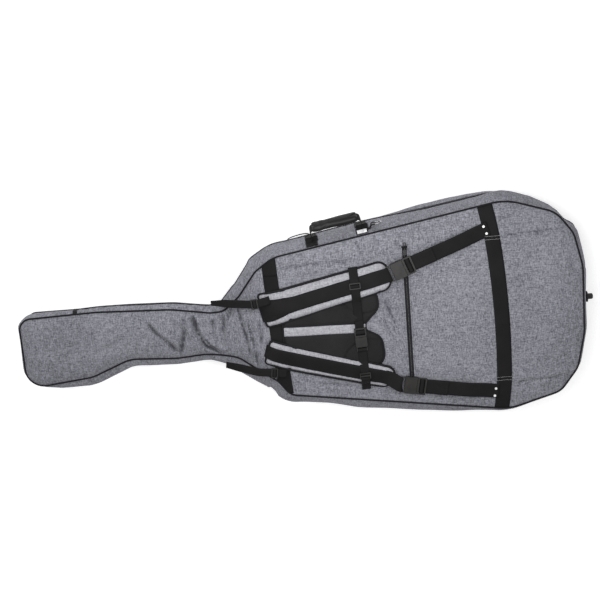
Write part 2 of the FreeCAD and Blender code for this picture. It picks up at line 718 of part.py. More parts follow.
def rivets():
    pieces = []
    for side in ("a", "b"):
        _, along = strap_axis(side)
        drop = BUCKLE_Z - BODY_DEPTH - BAND
        for offset in (-RIVET_OFFSET, RIVET_OFFSET):
            foot = V(along.Length - RIVET_INSET, offset, WEB - drop)
            pieces.append(in_strap(Part.makeCylinder(RIVET_RADIUS, RIVET_HEIGHT, foot), side))
    return Part.makeCompound(pieces)


def lifter(points, width):
    """Load-lifter strap from a pad's upper end over the shoulder to the neck's side."""
    start, end = points[0][:2], points[-1][:2]
    path = [(distance(start, (x, y)), z) for x, y, z in points]
    return ribbon(start, end, path, width, WEB)


def slope_z(x):
    """Height of the back between the fold line and the crest."""
    return NECK_DEPTH + (BODY_DEPTH - NECK_DEPTH) * (x - FOLD_X) / (SLOPE_X - FOLD_X)


def lifter_points(side):
    if side == "a":
        top = PAD_TOP + 0.2
        over, foot = -226.0, -299.0
        down = [(over, 88.0, slope_z(over) + 18.0), (foot, 84.0, slope_z(foot) + 9.8)]
        return [(*LIFTER_A, top), (-141.0, 96.0, top)] + down
    low = PAD_LOW - WEB - 0.6
    foot = -268.0
    return [(*LIFTER_B, low), (-160.0, -150.0, low - 4.0), (foot, -136.0, slope_z(foot) + 2.8)]


LOCK_HALF = 11.0            # half a ladder lock's length, along its webbing
LOCK_SIDE = 3.5
LOCK_THICK = 3.4
LOCK_SLOTS = ((-7.5, -2.5), (2.5, 7.5))


def ladder_lock(width):
    """Flat frame with two slots, threaded on a webbing of the given width."""
    half = width / 2 + LOCK_SIDE
    plate = block(-LOCK_HALF, LOCK_HALF, -half, half, 0, LOCK_THICK)
    plate = plate.makeFillet(2.5, [e for e in plate.Edges if abs(e.tangentAt(0).z) > 0.9])
    for x0, x1 in LOCK_SLOTS:
        plate = plate.cut(block(x0, x1, -width / 2 - 0.5, width / 2 + 0.5, -1, LOCK_THICK + 1))
    return plate


def lifter_locks():
    pieces = []
    for side in ("a", "b"):
        points = lifter_points(side)
        first, second = V(*points[0]), V(*points[1])
        along = second - first
        unit = V(along)
        unit.normalize()
        normal = V(0, 0, 1) - unit * unit.z
        normal.normalize()
        at = first + unit * LOCK_ALONG + normal * (WEB + 0.2)
        pieces.append(frame_at(ladder_lock(LIFTER_WIDTH), at, along))
    return Part.makeCompound(pieces)


def pad_crossings(side):
    """Distances along the chest strap, from its buckle, to the near and far edge of a pad."""
    (start, end), (wide, narrow) = PADS[side]
    mouth, along = chest_axis()
    unit = V(along)
    unit.normalize()
    length = distance(start, end)
    forward = V(end[0] - start[0], end[1] - start[1], 0) * (1 / length)
    across = V(-forward.y, forward.x, 0)
    found = []
    for sign in (-1, 1):
        edge_a = V(start[0], start[1], 0) + across * (sign * wide / 2)
        edge_b = V(end[0], end[1], 0) + across * (sign * narrow / 2)
        line = edge_b - edge_a
        normal = V(-line.y, line.x, 0)
        here = V(mouth.x, mouth.y, 0)
        found.append(abs((edge_a - here).dot(normal) / unit.dot(normal)))
    return sorted(found)


def chest_path(side):
    """Heights of the chest strap along its own axis, from the buckle to the outside of a pad."""
    near, far = pad_crossings(side)
    top = PAD_TOP + WEB + 0.4
    down = [(far + 8.0, top), (far + 10.0, top - PAD_THICK)]
    if side == "a":
        return [(8.0, CHEST_Z), (near - 24.0, CHEST_Z), (near - 8.0, top)] + down
    low = CHEST_Z + BUCKLE_HEIGHT_CHEST / 2 - 1.0
    behind_bar = LOOP_CLEAR + WEB - LAP - rear_bar(CHEST_WIDTH)[0]
    return [(behind_bar, low), (near - 20.0, low), (near - 8.0, top)] + down


def chest_strap(side):
    start, _ = chest_axis()
    end = CHEST_TOP if side == "a" else CHEST_BOTTOM
    strip = ribbon((start.x, start.y), end, chest_path(side), CHEST_WIDTH, WEB)
    if side == "a":
        return strip
    bar = rear_bar(CHEST_WIDTH)
    loop = in_chest(bar_loop(bar, BUCKLE_HEIGHT_CHEST, CHEST_WIDTH))
    return merged(strip.fuse(loop))


def chest_tri_glides():
    start, along = chest_axis()
    unit = V(along)
    unit.normalize()
    top = PAD_TOP + 2 * WEB + 0.6
    pieces = []
    for side, sign in (("a", 1), ("b", -1)):
        near, far = pad_crossings(side)
        at = start + unit * (sign * (near + far) / 2)
        pieces.append(frame_at(ladder_lock(CHEST_WIDTH), V(at.x, at.y, top), unit))
    return Part.makeCompound(pieces)


# ---- Pocket zipper ---------------------------------------------------------------------------
def pocket_zip():
    length = POCKET_TOP_Y - POCKET_BOTTOM_Y
    tape = Part.makeBox(POCKET_TAPE, length, 1.2, V(POCKET_X - POCKET_TAPE / 2, POCKET_BOTTOM_Y, BODY_DEPTH))
    coil_low = V(POCKET_X - POCKET_COIL / 2, POCKET_BOTTOM_Y + 4, BODY_DEPTH + 1.2)
    return merged(tape.fuse(Part.makeBox(POCKET_COIL, length - 8, 1.6, coil_low)))


def pocket_slider():
    """Slider straddling the pocket zipper's coil, drawn with X along the chain and a cord eye."""
    body = block(-9, 9, -6.5, 6.5, 1.6, 6.0)
    body = body.makeFillet(2.0, [e for e in body.Edges if abs(e.tangentAt(0).z) > 0.9])
    body = body.cut(block(-12, 12, -POCKET_COIL / 2 - 0.5, POCKET_COIL / 2 + 0.5, 0, 3.4))
    eye_rise = EYE_HOLE + 0.9
    eye = block(5, CORD_X + EYE_HOLE + 1.2, -EYE_HALF, EYE_HALF, CORD_Z - eye_rise, CORD_Z + eye_rise)
    eye = eye.cut(Part.makeCylinder(EYE_HOLE, 4 * EYE_HALF, V(CORD_X, -2 * EYE_HALF, CORD_Z), V(0, 1, 0)))
    return frame_at(merged(body.fuse(eye)), V(POCKET_X, POCKET_SLIDER_Y, BODY_DEPTH), V(0, 1, 0))


def pocket_pull():
    """Cord loop through the slider's eye: a bow in the eye, two legs and a bow at the free end."""
    bow, near_x, far_x = 3.4, CORD_X + 3.4, CORD_X + 18.4
    left = Part.makeCylinder(CORD_RADIUS, far_x - near_x, V(near_x, bow, CORD_Z), V(1, 0, 0))
    right = left.mirror(V(0, 0, 0), V(0, 1, 0))
    far = Part.makeTorus(bow, CORD_RADIUS, V(far_x, 0, CORD_Z))
    far = far.common(block(far_x, far_x + 9, -9, 9, 0, 12))
    near = Part.makeTorus(bow, CORD_RADIUS, V(near_x, 0, CORD_Z))
    near = near.common(block(near_x - 9, near_x, -9, 9, 0, 12))
    loop = merged(left.fuse([right, far, near]))
    return frame_at(loop, V(POCKET_X, POCKET_SLIDER_Y, BODY_DEPTH), V(0, 1, 0))


# ---- Handles, ring, bumper -------------------------------------------------------------------
def handle_feet():
    low, high = ZIP_Z + TAPE_HALF + 6.0, BODY_DEPTH - PIPING - 3.0
    feet = [on_side(block(-FOOT_WIDTH / 2, FOOT_WIDTH / 2, 0, WEB, low, high), 1, d, 0) for d in HANDLE_FEET]
    return Part.makeCompound([s for f in feet for s in f.Solids])


HINGE_OUT = WEB + 4.0           # handle's pivot line, out from the gusset's face
KNUCKLE_REACH = 4.8             # from the pivot line to the rounded end of the webbing
KNUCKLE_RADIUS = 3.0


def handle_strap():
    """Webbing loop of the padded handle, drawn with the pivot line on X and Y outward."""
    half = (HANDLE_FEET[1] - HANDLE_FEET[0]) / 2
    zh = HANDLE_WEB_WIDTH / 2
    reach = HANDLE_REACH
    outer = rounded_wire([
        (-half - 1.5, 0.0, 0.0), (-half - 1.5, reach, 9.0), (half + 1.5, reach, 9.0), (half + 1.5, 0.0, 0.0),
        (half - 1.5, 0.0, 0.0), (half - 1.5, reach - 3.0, 6.0), (-half + 1.5, reach - 3.0, 6.0),
        (-half + 1.5, 0.0, 0.0),
    ])
    loop = prism(outer, -zh, zh)
    for x in (-half, half):
        knuckle = Part.makeCylinder(KNUCKLE_RADIUS, FOOT_WIDTH - 8, V(x - FOOT_WIDTH / 2 + 4, 0, 0), V(1, 0, 0))
        shoulder = block(x - 8, x + 8, 0, 12, -KNUCKLE_RADIUS, KNUCKLE_RADIUS)
        round_at = zh + KNUCKLE_REACH
        keep = Part.makeCylinder(zh, 20, V(x - 10, round_at, 0), V(1, 0, 0))
        near = block(x - 10, x + 10, -1, round_at, -zh - 1, zh + 1).cut(keep)
        loop = loop.cut(near).fuse([knuckle, shoulder])
    return merged(loop)


def handle_wrap():
    """Padded wrap round the middle of the handle's webbing, open as a tube along X."""
    depth, height = WRAP_SECTION
    shell = block(-WRAP_LENGTH / 2, WRAP_LENGTH / 2, -depth / 2, depth / 2, -height / 2, height / 2)
    shell = shell.makeFillet(10.0, [e for e in shell.Edges if abs(e.tangentAt(0).x) > 0.9])
    slot = block(-WRAP_LENGTH, WRAP_LENGTH, -1.9, 1.9, -HANDLE_WEB_WIDTH / 2 - 0.4, HANDLE_WEB_WIDTH / 2 + 0.4)
    shell = shell.cut(slot)
    shell.translate(V(0, HANDLE_REACH - 1.5, 0))
    return shell


def on_handle(shape):
    start, along, normal = side_line(1)
    middle = (HANDLE_FEET[0] + HANDLE_FEET[1]) / 2
    origin = start + along * middle + normal * HINGE_OUT + V(0, 0, HANDLE_Z)
    matrix = FreeCAD.Matrix(
        along.x, normal.x, 0, origin.x, along.y, normal.y, 0, origin.y, 0, 0, 1, origin.z, 0, 0, 0, 1
    )
    leaning = shape.copy()
    leaning.rotate(V(0, 0, 0), V(1, 0, 0), HANDLE_TILT)
    return placed(leaning, matrix)


RING_OUT = WEB + RING_WIRE + 0.8
KEEPER_TONGUE = 18.0        # length of keeper sewn to the gusset
KEEPER_HALF = RING_WIDTH / 2 - 5.0


def d_ring():
    """D-shaped wire ring, drawn with its straight bar parallel to Z, inside the keeper's eye."""
    half = RING_WIDTH / 2
    corners = [(0.0, half, 3.5), (0.0, -half, 3.5), (RING_LENGTH, -half, 9.0), (RING_LENGTH, half, 9.0)]
    path = rounded_wire(corners)
    circle = Part.Wire(Part.makeCircle(RING_WIRE, V(0, 0, 0), V(0, 1, 0)))
    swept = path.makePipeShell([circle], True, False)
    swept.rotate(V(0, 0, 0), V(1, 0, 0), 90)
    swept.translate(V(0, RING_OUT, 0))
    return swept


def ring_keeper():
    """Webbing folded round the ring's bar and sewn to the gusset."""
    half, hole = KEEPER_HALF, RING_WIRE + 0.4
    tongue = block(-KEEPER_TONGUE, 0, 0, WEB + 0.6, -half, half)
    eye = Part.makeCylinder(hole + WEB, 2 * half, V(0, RING_OUT, -half))
    eye = eye.fuse(block(-8, 0, 0, RING_OUT + hole + WEB, -half, half))
    return merged(tongue.fuse(eye)).cut(Part.makeCylinder(hole, 4 * half, V(0, RING_OUT, -2 * half)))


def grab_handle(span, reach, width):
    """Flat webbing grab loop with two sewn feet, drawn with X along the side and Y outward."""
    first, last = span
    outer = rounded_wire([
        (first - 26, 0.0, 0.0), (first - 26, WEB, 0.0), (first - 4, WEB, 0.0), (first + 18, reach, 14.0),
        (last - 18, reach, 14.0), (last + 4, WEB, 0.0), (last + 26, WEB, 0.0), (last + 26, 0.0, 0.0),
        (last + 2, 0.0, 0.0), (last - 20, reach - WEB, 12.0), (first + 20, reach - WEB, 12.0),
        (first - 2, 0.0, 0.0),
    ])
    return prism(outer, -width / 2, width / 2)


def head_tab():
    """Webbing tab sewn over the zipper's end on the head."""
    low, high = ZIP_Z - TAPE_HALF - 8.0, NECK_DEPTH - PIPING - 4.0
    wall = ring(-WEB, 0, low, high)
    coils = ring(-COIL_PROUD, 0, ZIP_Z - TAPE_HALF, ZIP_Z + TAPE_HALF)
    return wall.cut(coils).common(Part.makeBox(14.0, FAR, FAR, V(HEAD_STOP_X - 7.0, 0, -1)))


def bumper():
    """Rubber bumper with a flange, on the bottom end."""
    at = V(BOTTOM_X + GUSSET_PROUD, -SLUMP, BUMPER_Z)
    flange = Part.makeCylinder(BUMPER_RADIUS + 9.0, 3.0, at, V(1, 0, 0))
    stem = Part.makeCylinder(BUMPER_RADIUS, BUMPER_LENGTH, at, V(1, 0, 0))
    stem = stem.makeFillet(4.0, [e for e in stem.Edges if e.CenterOfMass.x > at.x + BUMPER_LENGTH - 0.01])
    return merged(flange.fuse(stem))


def build():
    big, small = BUCKLE_HEIGHT, BUCKLE_HEIGHT_CHEST
    parts = {
        "front_panel": front_panel(),
        "front_panel_foam": front_panel_foam(),
        "front_gusset_fabric": front_gusset_fabric(),
        "front_gusset_foam": front_gusset_foam(),
        "front_lining": front_lining(),
        "front_and_neck_piping": front_and_neck_piping(),
        "neck_hood_fabric": neck_hood_fabric(),
        "neck_hood_foam": neck_hood_foam(),
        "neck_hood_lining": neck_hood_lining(),
        "zipper_front": zipper_front(),
        "zipper_neck_back": zipper_neck_back(),
        "head_tab": head_tab(),
        "grab_handle_a": on_side(grab_handle(GRAB_A, GRAB_REACH, GRAB_WIDTH), 1, 0, GRAB_Z),
        "grab_handle_b": on_side(grab_handle(GRAB_B, GRAB_REACH, GRAB_WIDTH), -1, 0, GRAB_Z),
        "back_panel": back_panel(),
        "back_panel_foam": back_panel_foam(),
        "back_gusset_fabric": back_gusset_fabric(),
        "back_gusset_foam": back_gusset_foam(),
        "back_lining": back_lining(),
        "back_piping": back_piping(),
        "zipper_back": zipper_back(),
        "upper_band": band(UPPER_BAND_X, UPPER_BAND_WIDTH),
        "lower_band": band(LOWER_BAND_X, LOWER_BAND_WIDTH),
        "back_cushion": cushion(),
        "cushion_strip": cushion_strip(),
        "rivets": rivets(),
        "lifter_ladder_locks": lifter_locks(),
        "chest_strap_a": chest_strap("a"),
        "chest_strap_b": chest_strap("b"),
        "chest_tri_glides": chest_tri_glides(),
        "chest_buckle_female": in_chest(buckle_female(CHEST_WIDTH, small)),
        "chest_buckle_male": in_chest(buckle_male(CHEST_WIDTH, small)),
        "chest_strap_tail": in_chest(adjuster_tail(CHEST_WIDTH, 20.0 + CHEST_TAIL)),
        "pocket_zipper": pocket_zip(),
        "pocket_slider": pocket_slider(),
        "pocket_pull_cord": pocket_pull(),
        "handle_feet": handle_feet(),
        "handle_webbing": on_handle(handle_strap()),
        "handle_wrap": on_handle(handle_wrap()),
        "ring_keeper": on_side(ring_keeper(), 1, RING_AT, RING_Z),
        "d_ring": on_side(d_ring(), 1, RING_AT, RING_Z),
        "end_bumper": bumper(),
    }
    for side in ("a", "b"):
        parts["shoulder_pad_" + side] = shoulder_pad(side)
        parts["shoulder_webbing_" + side] = shoulder_webbing(side)
        parts["strap_strand_" + side] = strap_strand(side)
        parts["strap_buckle_female_" + side] = in_strap(buckle_female(STRAP_WIDTH, big), side)
        parts["strap_buckle_male_" + side] = in_strap(buckle_male(STRAP_WIDTH, big), side)
        parts["strap_tail_" + side] = in_strap(adjuster_tail(STRAP_WIDTH, 32.0 + TAIL_LENGTH), side)
        parts["lifter_strap_" + side] = lifter(lifter_points(side), LIFTER_WIDTH)
    for index in (0, 1):
        name = str(index + 1)
        parts["main_slider_" + name] = on_side(main_slider(), -1, slider_distance(index), ZIP_Z)
        side = -1 if index == 0 else 1
        parts["main_pull_" + name] = on_side(pull_tab(side), -1, slider_distance(index), ZIP_Z)
    return parts


def main():
    os.makedirs("parts", exist_ok=True)
    for name, shape in build().items():
        bad = [s for s in shape.Solids if not s.isValid() or s.Volume <= 0]
        if bad or not shape.Solids:
            print("PROBLEM", name, len(shape.Solids), [s.Volume for s in bad])
        shape.exportStep(os.path.join("parts", name + ".step"))
    axes()


def axes():
    """Prints the joint axes and places that a record needs."""
    start, along, normal = side_line(-1)
    for index in (0, 1):
        at = start + along * slider_distance(index) + normal * PIN_Y
        print("slider", index + 1, at, "z", ZIP_Z, "along", along)
    start, along, normal = side_line(1)
    middle = (HANDLE_FEET[0] + HANDLE_FEET[1]) / 2
    print("handle", start + along * middle + normal * HINGE_OUT, "z", HANDLE_Z, "along", along)
    print("ring", start + along * RING_AT + normal * RING_OUT, "z", RING_Z)
    for side in ("a", "b"):
        mouth, direction = strap_axis(side)
        direction.normalize()
        print("strap", side, mouth, direction)
    mouth, direction = chest_axis()
    direction.normalize()
    print("chest", mouth, direction)


main()
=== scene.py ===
# %% [markdown]
# # A padded gig bag for a double bass
# The bag lies on its front panel with its backpack harness facing up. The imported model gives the
# frame: the sizes, the hardware and the bodies that move. This script sews the visible bag round
# it, in metres, with the head of the bag towards -X and the padded handle on the +Y side.

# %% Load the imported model
import json
import math

import bmesh
import bpy
import numpy as np
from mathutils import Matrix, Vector


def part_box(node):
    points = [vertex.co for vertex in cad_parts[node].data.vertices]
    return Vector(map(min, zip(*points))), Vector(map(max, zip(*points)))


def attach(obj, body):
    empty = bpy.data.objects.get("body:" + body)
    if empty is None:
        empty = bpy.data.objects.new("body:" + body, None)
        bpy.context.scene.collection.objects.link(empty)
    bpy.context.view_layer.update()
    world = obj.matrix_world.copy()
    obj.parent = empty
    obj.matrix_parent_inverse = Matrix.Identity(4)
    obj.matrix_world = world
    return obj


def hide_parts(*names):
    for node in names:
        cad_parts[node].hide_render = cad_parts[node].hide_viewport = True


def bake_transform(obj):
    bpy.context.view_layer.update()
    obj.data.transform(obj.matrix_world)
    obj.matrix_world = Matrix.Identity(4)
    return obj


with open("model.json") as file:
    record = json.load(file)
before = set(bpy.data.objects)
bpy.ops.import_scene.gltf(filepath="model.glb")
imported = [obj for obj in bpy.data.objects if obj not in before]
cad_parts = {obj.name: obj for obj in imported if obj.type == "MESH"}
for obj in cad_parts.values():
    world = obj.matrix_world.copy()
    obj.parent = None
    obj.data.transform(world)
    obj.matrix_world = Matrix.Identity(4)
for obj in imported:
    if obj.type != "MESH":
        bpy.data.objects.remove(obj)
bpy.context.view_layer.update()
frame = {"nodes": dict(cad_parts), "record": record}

SHELL, LID = "front_shell", "back_shell"
JOINTS = {joint["name"]: joint for joint in frame["record"]["behaviour"]["joints"]}


# %% [markdown]
# ## Shader arithmetic
# A material's pattern is arithmetic on sockets. Wiring Math nodes by hand hides the formula, so a
# small class wraps a socket and lets Python's own operators add the nodes.

# %% Sockets that can be added and multiplied
class Value:
    def __init__(self, finish, socket):
        self.finish, self.socket = finish, socket

    def maths(self, operation, other, swap=False):
        first, second = (other, self) if swap else (self, other)
        return self.finish.node("Math", {"operation": operation}, {0: first, 1: second})

    def __add__(self, other):
        return self.maths("ADD", other)

    def __radd__(self, other):
        return self.maths("ADD", other, swap=True)

    def __sub__(self, other):
        return self.maths("SUBTRACT", other)

    def __rsub__(self, other):
        return self.maths("SUBTRACT", other, swap=True)

    def __mul__(self, other):
        return self.maths("MULTIPLY", other)

    def __rmul__(self, other):
        return self.maths("MULTIPLY", other, swap=True)

    def __pow__(self, other):
        return self.maths("POWER", other)

    def wave(self):
        return self.maths("SINE", 0.0)

    def between(self, low, high):
        """0 below low, 1 above high, smooth in between."""
        settings = {"interpolation_type": "SMOOTHSTEP"}
        return self.finish.node("MapRange", settings,
                                {"Value": self, "From Min": low, "From Max": high})


# %% A finish: one material and the nodes that make it
class Finish:
    def __init__(self, name):
        self.material = bpy.data.materials.new(name)
        self.material.use_nodes = True
        self.tree = self.material.node_tree
        self.shader = self.tree.nodes["Principled BSDF"]

    def node(self, kind, settings=None, sockets=None, output=0):
        """Adds a node: settings are its properties, sockets its values or links."""
        made = self.tree.nodes.new("ShaderNode" + kind)
        for name, value in (settings or {}).items():
            if name == "stops":
                for stop, (place, colour) in zip(made.color_ramp.elements, value):
                    stop.position, stop.color = place, (*colour, 1.0)
            else:
                setattr(made, name, value)
        for key, value in (sockets or {}).items():
            if isinstance(value, Value):
                self.tree.links.new(value.socket, made.inputs[key])
            else:
                made.inputs[key].default_value = value
        return Value(self, made.outputs[output])

    def place(self, source="Object", scale=(1.0, 1.0, 1.0), turn=(0.0, 0.0, 0.0)):
        """Coordinates in metres, stretched and turned."""
        start = self.node("TexCoord", output=source)
        return self.node("Mapping", None, {"Vector": start, "Scale": scale, "Rotation": turn})

    def noise(self, place, scale, detail=3.0, rough=0.55):
        sockets = {"Vector": place, "Scale": scale, "Detail": detail, "Roughness": rough}
        return self.node("TexNoise", None, sockets, "Fac")

    def crossed(self, stretch, scale, detail=2.0, rough=0.55):
        """Yarns along the bag plus yarns across it: two noises, each stretched one way."""
        along = self.noise(self.place(scale=(stretch, 1.0, 1.0)), scale, detail, rough)
        return along + self.noise(self.place(scale=(1.0, stretch, stretch)), scale, detail, rough)

    def blend(self, factor, first, second):
        """Mixes two colours."""
        sockets = {0: factor, 6: (*first, 1.0) if isinstance(first, tuple) else first}
        sockets[7] = (*second, 1.0) if isinstance(second, tuple) else second
        return self.node("Mix", {"data_type": "RGBA"}, sockets, 2)

    def bump(self, height, strength, distance):
        return self.node("Bump", None, {"Height": height, "Strength": strength,
                                        "Distance": distance})

    def shade(self, **values):
        """Sets the shader's sockets: Base_Color means the socket Base Color."""
        for name, value in values.items():
            socket = self.shader.inputs[name.replace("_", " ")]
            if isinstance(value, Value):
                self.tree.links.new(value.socket, socket)
            else:
                socket.default_value = (*value, 1.0) if isinstance(value, tuple) else value
        return self.material


# %% [markdown]
# ## Heather grey shell fabric
# The shell is a melange polyester: light and dark yarns cross, so thin slubs run both along and
# across the bag. Pairs of noises, each stretched one way, give the slubs, the coarse yarns and the
# weave, and a broad noise gives the uneven tone that a big panel of such cloth always has. Narrow
# folds get painted shade: their cloth is darkened to stand in for the shade that falls in creases.
# The back panel carries an attribute that says where they are, and it reads as nought on every
# other piece.

# %% Melange
YARN = 0.0011           # pitch of the weave, metres
FOLD_SHADE = 0.55       # how much painted shade darkens the bottom of a narrow fold


def melange(name, dark, light, slub=1.0):
    finish = Finish(name)
    slubs = finish.crossed(0.14, 420.0, rough=0.75)
    coarse = finish.crossed(0.20, 190.0, rough=0.6)
    yarns = finish.crossed(0.25, 0.6 / YARN, 1.0, 0.5)
    broad = finish.noise(finish.place(), 4.0, 3.0, 0.6)
    tone = (slubs * 0.5 - 0.5) * (1.7 * slub) + (coarse * 0.5 - 0.5) * (0.8 * slub)
    tone = tone + (yarns * 0.5 - 0.5) * 1.3
    # Painted shade: this attribute darkens the cloth in narrow folds, where shade falls.
    crease = finish.node("Attribute", {"attribute_name": "crease"}, output="Fac")
    tone = tone + (broad - 0.5) * 0.25 + 0.5 - crease * FOLD_SHADE
    colour = finish.blend(tone.between(0.05, 0.95), dark, light)
    relief = yarns * 0.6 + slubs * 0.5
    normal = finish.bump(relief, 0.55, 0.0009)
    return finish.shade(Base_Color=colour, Roughness=0.9, Normal=normal, Specular_IOR_Level=0.2)


GREY = melange("heather_grey", (0.058, 0.058, 0.070), (0.272, 0.272, 0.308))
LIGHT_GREY = melange("heather_light_grey", (0.17, 0.17, 0.187), (0.38, 0.38, 0.41), 0.8)
FOAM_EDGE = melange("foam_edge", (0.20, 0.20, 0.22), (0.26, 0.26, 0.28), 0.3)


# %% [markdown]
# ## Black webbing, padded cloth, vinyl, plastic, metal and rubber
# Webbing has ribs that run across it, so its pattern reads the strap's own UV map, where U is
# metres along the strap and V metres across. The other blacks differ in gloss and grain.

# %% Blacks
RIB_PITCH, CORD_PITCH = 0.0024, 0.0032      # of the webbing's weave, along and across


def webbing_finish(name, tone=0.012):
    finish = Finish(name)
    uv = finish.node("UVMap", {"uv_map": "strap"})
    parts = finish.node("SeparateXYZ", None, {0: uv})
    along = Value(finish, parts.socket.node.outputs["X"])
    across = Value(finish, parts.socket.node.outputs["Y"])
    ribs = (along * (2 * math.pi / RIB_PITCH)).wave() * 0.5 + 0.5
    cords = (across * (2 * math.pi / CORD_PITCH)).wave() * 0.5 + 0.5
    fuzz = finish.noise(finish.place(), 900.0, 2.0)
    wear = finish.noise(finish.place(), 14.0, 3.0)
    pattern = ribs * 0.6 + cords * 0.4
    shade = (pattern * 0.35 + fuzz * 0.35 + wear * 0.5).between(0.2, 1.0)
    colour = finish.blend(shade, (tone * 0.55,) * 3, (tone * 1.9, tone * 1.85, tone * 1.95))
    normal = finish.bump(pattern + fuzz * 0.3, 0.5, 0.0007)
    return finish.shade(Base_Color=colour, Roughness=0.7, Normal=normal, Specular_IOR_Level=0.12)


def cloth_finish(name, dark, light, grain, rough=0.85):
    finish = Finish(name)
    weave = finish.noise(finish.place(scale=(0.4, 1.0, 1.0)), grain, 2.0)
    weave = weave + finish.noise(finish.place(scale=(1.0, 0.4, 1.0)), grain, 2.0)
    soft = finish.noise(finish.place(), 9.0, 3.0)
    colour = finish.blend((weave * 0.35 + soft * 0.6).between(0.25, 0.95), dark, light)
    normal = finish.bump(weave, 0.45, 0.0007)
    return finish.shade(Base_Color=colour, Roughness=rough, Normal=normal, Specular_IOR_Level=0.12)


def smooth_finish(name, dark, light, rough, metallic=0.0, grain=500.0, depth=0.0003, level=0.5):
    """Plastic, vinyl, metal and rubber: a fine grain and uneven gloss."""
    finish = Finish(name)
    fine = finish.noise(finish.place(), grain, 2.0)
    broad = finish.noise(finish.place(), 40.0, 4.0)
    colour = finish.blend((broad * 0.7 + fine * 0.3).between(0.3, 0.7), dark, light)
    gloss = broad * 0.2 + (rough - 0.1)
    normal = finish.bump(fine, 0.35, depth)
    return finish.shade(Base_Color=colour, Roughness=gloss, Metallic=metallic, Normal=normal,
                        Specular_IOR_Level=level)


WEBBING = webbing_finish("black_webbing", 0.006)
PADDED_BLACK = cloth_finish("black_padded_cloth", (0.007, 0.0068, 0.0072), (0.019, 0.0185, 0.0195),
                            700.0)
PLAIN_WEB = cloth_finish("black_plain_webbing", (0.004, 0.004, 0.0042), (0.011, 0.011, 0.0115),
                         900.0, 0.7)
CORDED_BLACK = cloth_finish("black_corded_edge", (0.004, 0.004, 0.005), (0.012, 0.012, 0.013),
                            900.0, 0.7)
LINING = cloth_finish("black_lining", (0.010, 0.010, 0.012), (0.028, 0.028, 0.031), 500.0, 0.6)
ZIP_TAPE = cloth_finish("black_zip_tape", (0.005, 0.005, 0.006), (0.014, 0.014, 0.015), 800.0, 0.75)
COIL = smooth_finish("black_nylon_coil", (0.010, 0.010, 0.011), (0.022, 0.022, 0.024), 0.38)
VINYL = smooth_finish("black_vinyl", (0.004, 0.004, 0.0045), (0.011, 0.011, 0.012), 0.46,
                      level=0.22, grain=260.0, depth=0.0008)
PLASTIC = smooth_finish("dark_acetal", (0.0095, 0.0088, 0.0085), (0.0170, 0.0158, 0.0150), 0.42,
                        level=0.35)
ENAMEL = smooth_finish("black_enamelled_metal", (0.012, 0.012, 0.013), (0.03, 0.03, 0.032), 0.28,
                       metallic=0.7)
NICKEL = smooth_finish("dark_nickel", (0.16, 0.16, 0.17), (0.34, 0.34, 0.35), 0.26, metallic=1.0)
RIVET = smooth_finish("bright_rivet", (0.72, 0.72, 0.72), (0.86, 0.86, 0.86), 0.34, metallic=0.3)
PLATE = smooth_finish("silver_plate", (0.50, 0.50, 0.52), (0.72, 0.72, 0.74), 0.32, metallic=0.6)
RUBBER = smooth_finish("black_rubber", (0.008, 0.008, 0.008), (0.018, 0.018, 0.018), 0.6)
THREAD_BLACK = cloth_finish("black_thread", (0.008, 0.008, 0.009), (0.03, 0.03, 0.033), 2000.0, 0.6)
THREAD_WHITE = cloth_finish("pale_thread", (0.35, 0.35, 0.36), (0.62, 0.62, 0.63), 2000.0, 0.6)
print("materials", len(bpy.data.materials))


# %% [markdown]
# ## From points to pieces
# Every soft piece is a mesh of quads worked out in the row frame. These helpers make the object,
# give it its material and smooth shading, and tell the frame which body it moves with.

# %% Making, riding and tubes
def piece(name, points, faces, material, uv=None):
    mesh = bpy.data.meshes.new(name)
    mesh.from_pydata([tuple(map(float, p)) for p in points], [], faces)
    mesh.materials.append(material)
    if uv is not None:
        layer = mesh.uv_layers.new(name="strap")
        corners = np.array([loop.vertex_index for loop in mesh.loops])
        layer.data.foreach_set("uv", np.asarray(uv, np.float32)[corners].ravel())
    mesh.polygons.foreach_set("use_smooth", [True] * len(mesh.polygons))
    mesh.update()
    made = bpy.data.objects.new(name, mesh)
    bpy.context.scene.collection.objects.link(made)
    return made


FOLD_X = JOINTS["back_fold"]["pos_m"][0]
FOLD_HALF = 0.035       # half width of the band round the fold line


def settle(made, body, nodes=()):
    """Rides on a body, or stays fixed in place when the body is None."""
    if body is None:
        FOLD_X - FOLD_HALF
        FOLD_X + FOLD_HALF
        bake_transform(made)
    else:
        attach(made, body)
    if nodes:
        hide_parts(*nodes)
    return made


def grid_faces(rows, columns, close_rows=False, close_columns=False):
    """Quads over a grid of points stored row by row."""
    faces = []
    for i in range(rows if close_rows else rows - 1):
        for j in range(columns if close_columns else columns - 1):
            a, b = i * columns + j, i * columns + (j + 1) % columns
            c, d = ((i + 1) % rows) * columns + (j + 1) % columns, ((i + 1) % rows) * columns + j
            faces.append((a, b, c, d))
    return faces


def distances(path):
    """Distance along a path at each of its points."""
    return np.concatenate([[0], np.cumsum(np.linalg.norm(np.diff(path, axis=0), axis=1))])


def frames_along(path, closed=False):
    """Unit tangents of a path of points."""
    path = np.asarray(path, float)
    if closed:
        tangent = np.roll(path, -1, axis=0) - np.roll(path, 1, axis=0)
    else:
        tangent = np.gradient(path, axis=0)
    return tangent / np.linalg.norm(tangent, axis=1)[:, None]


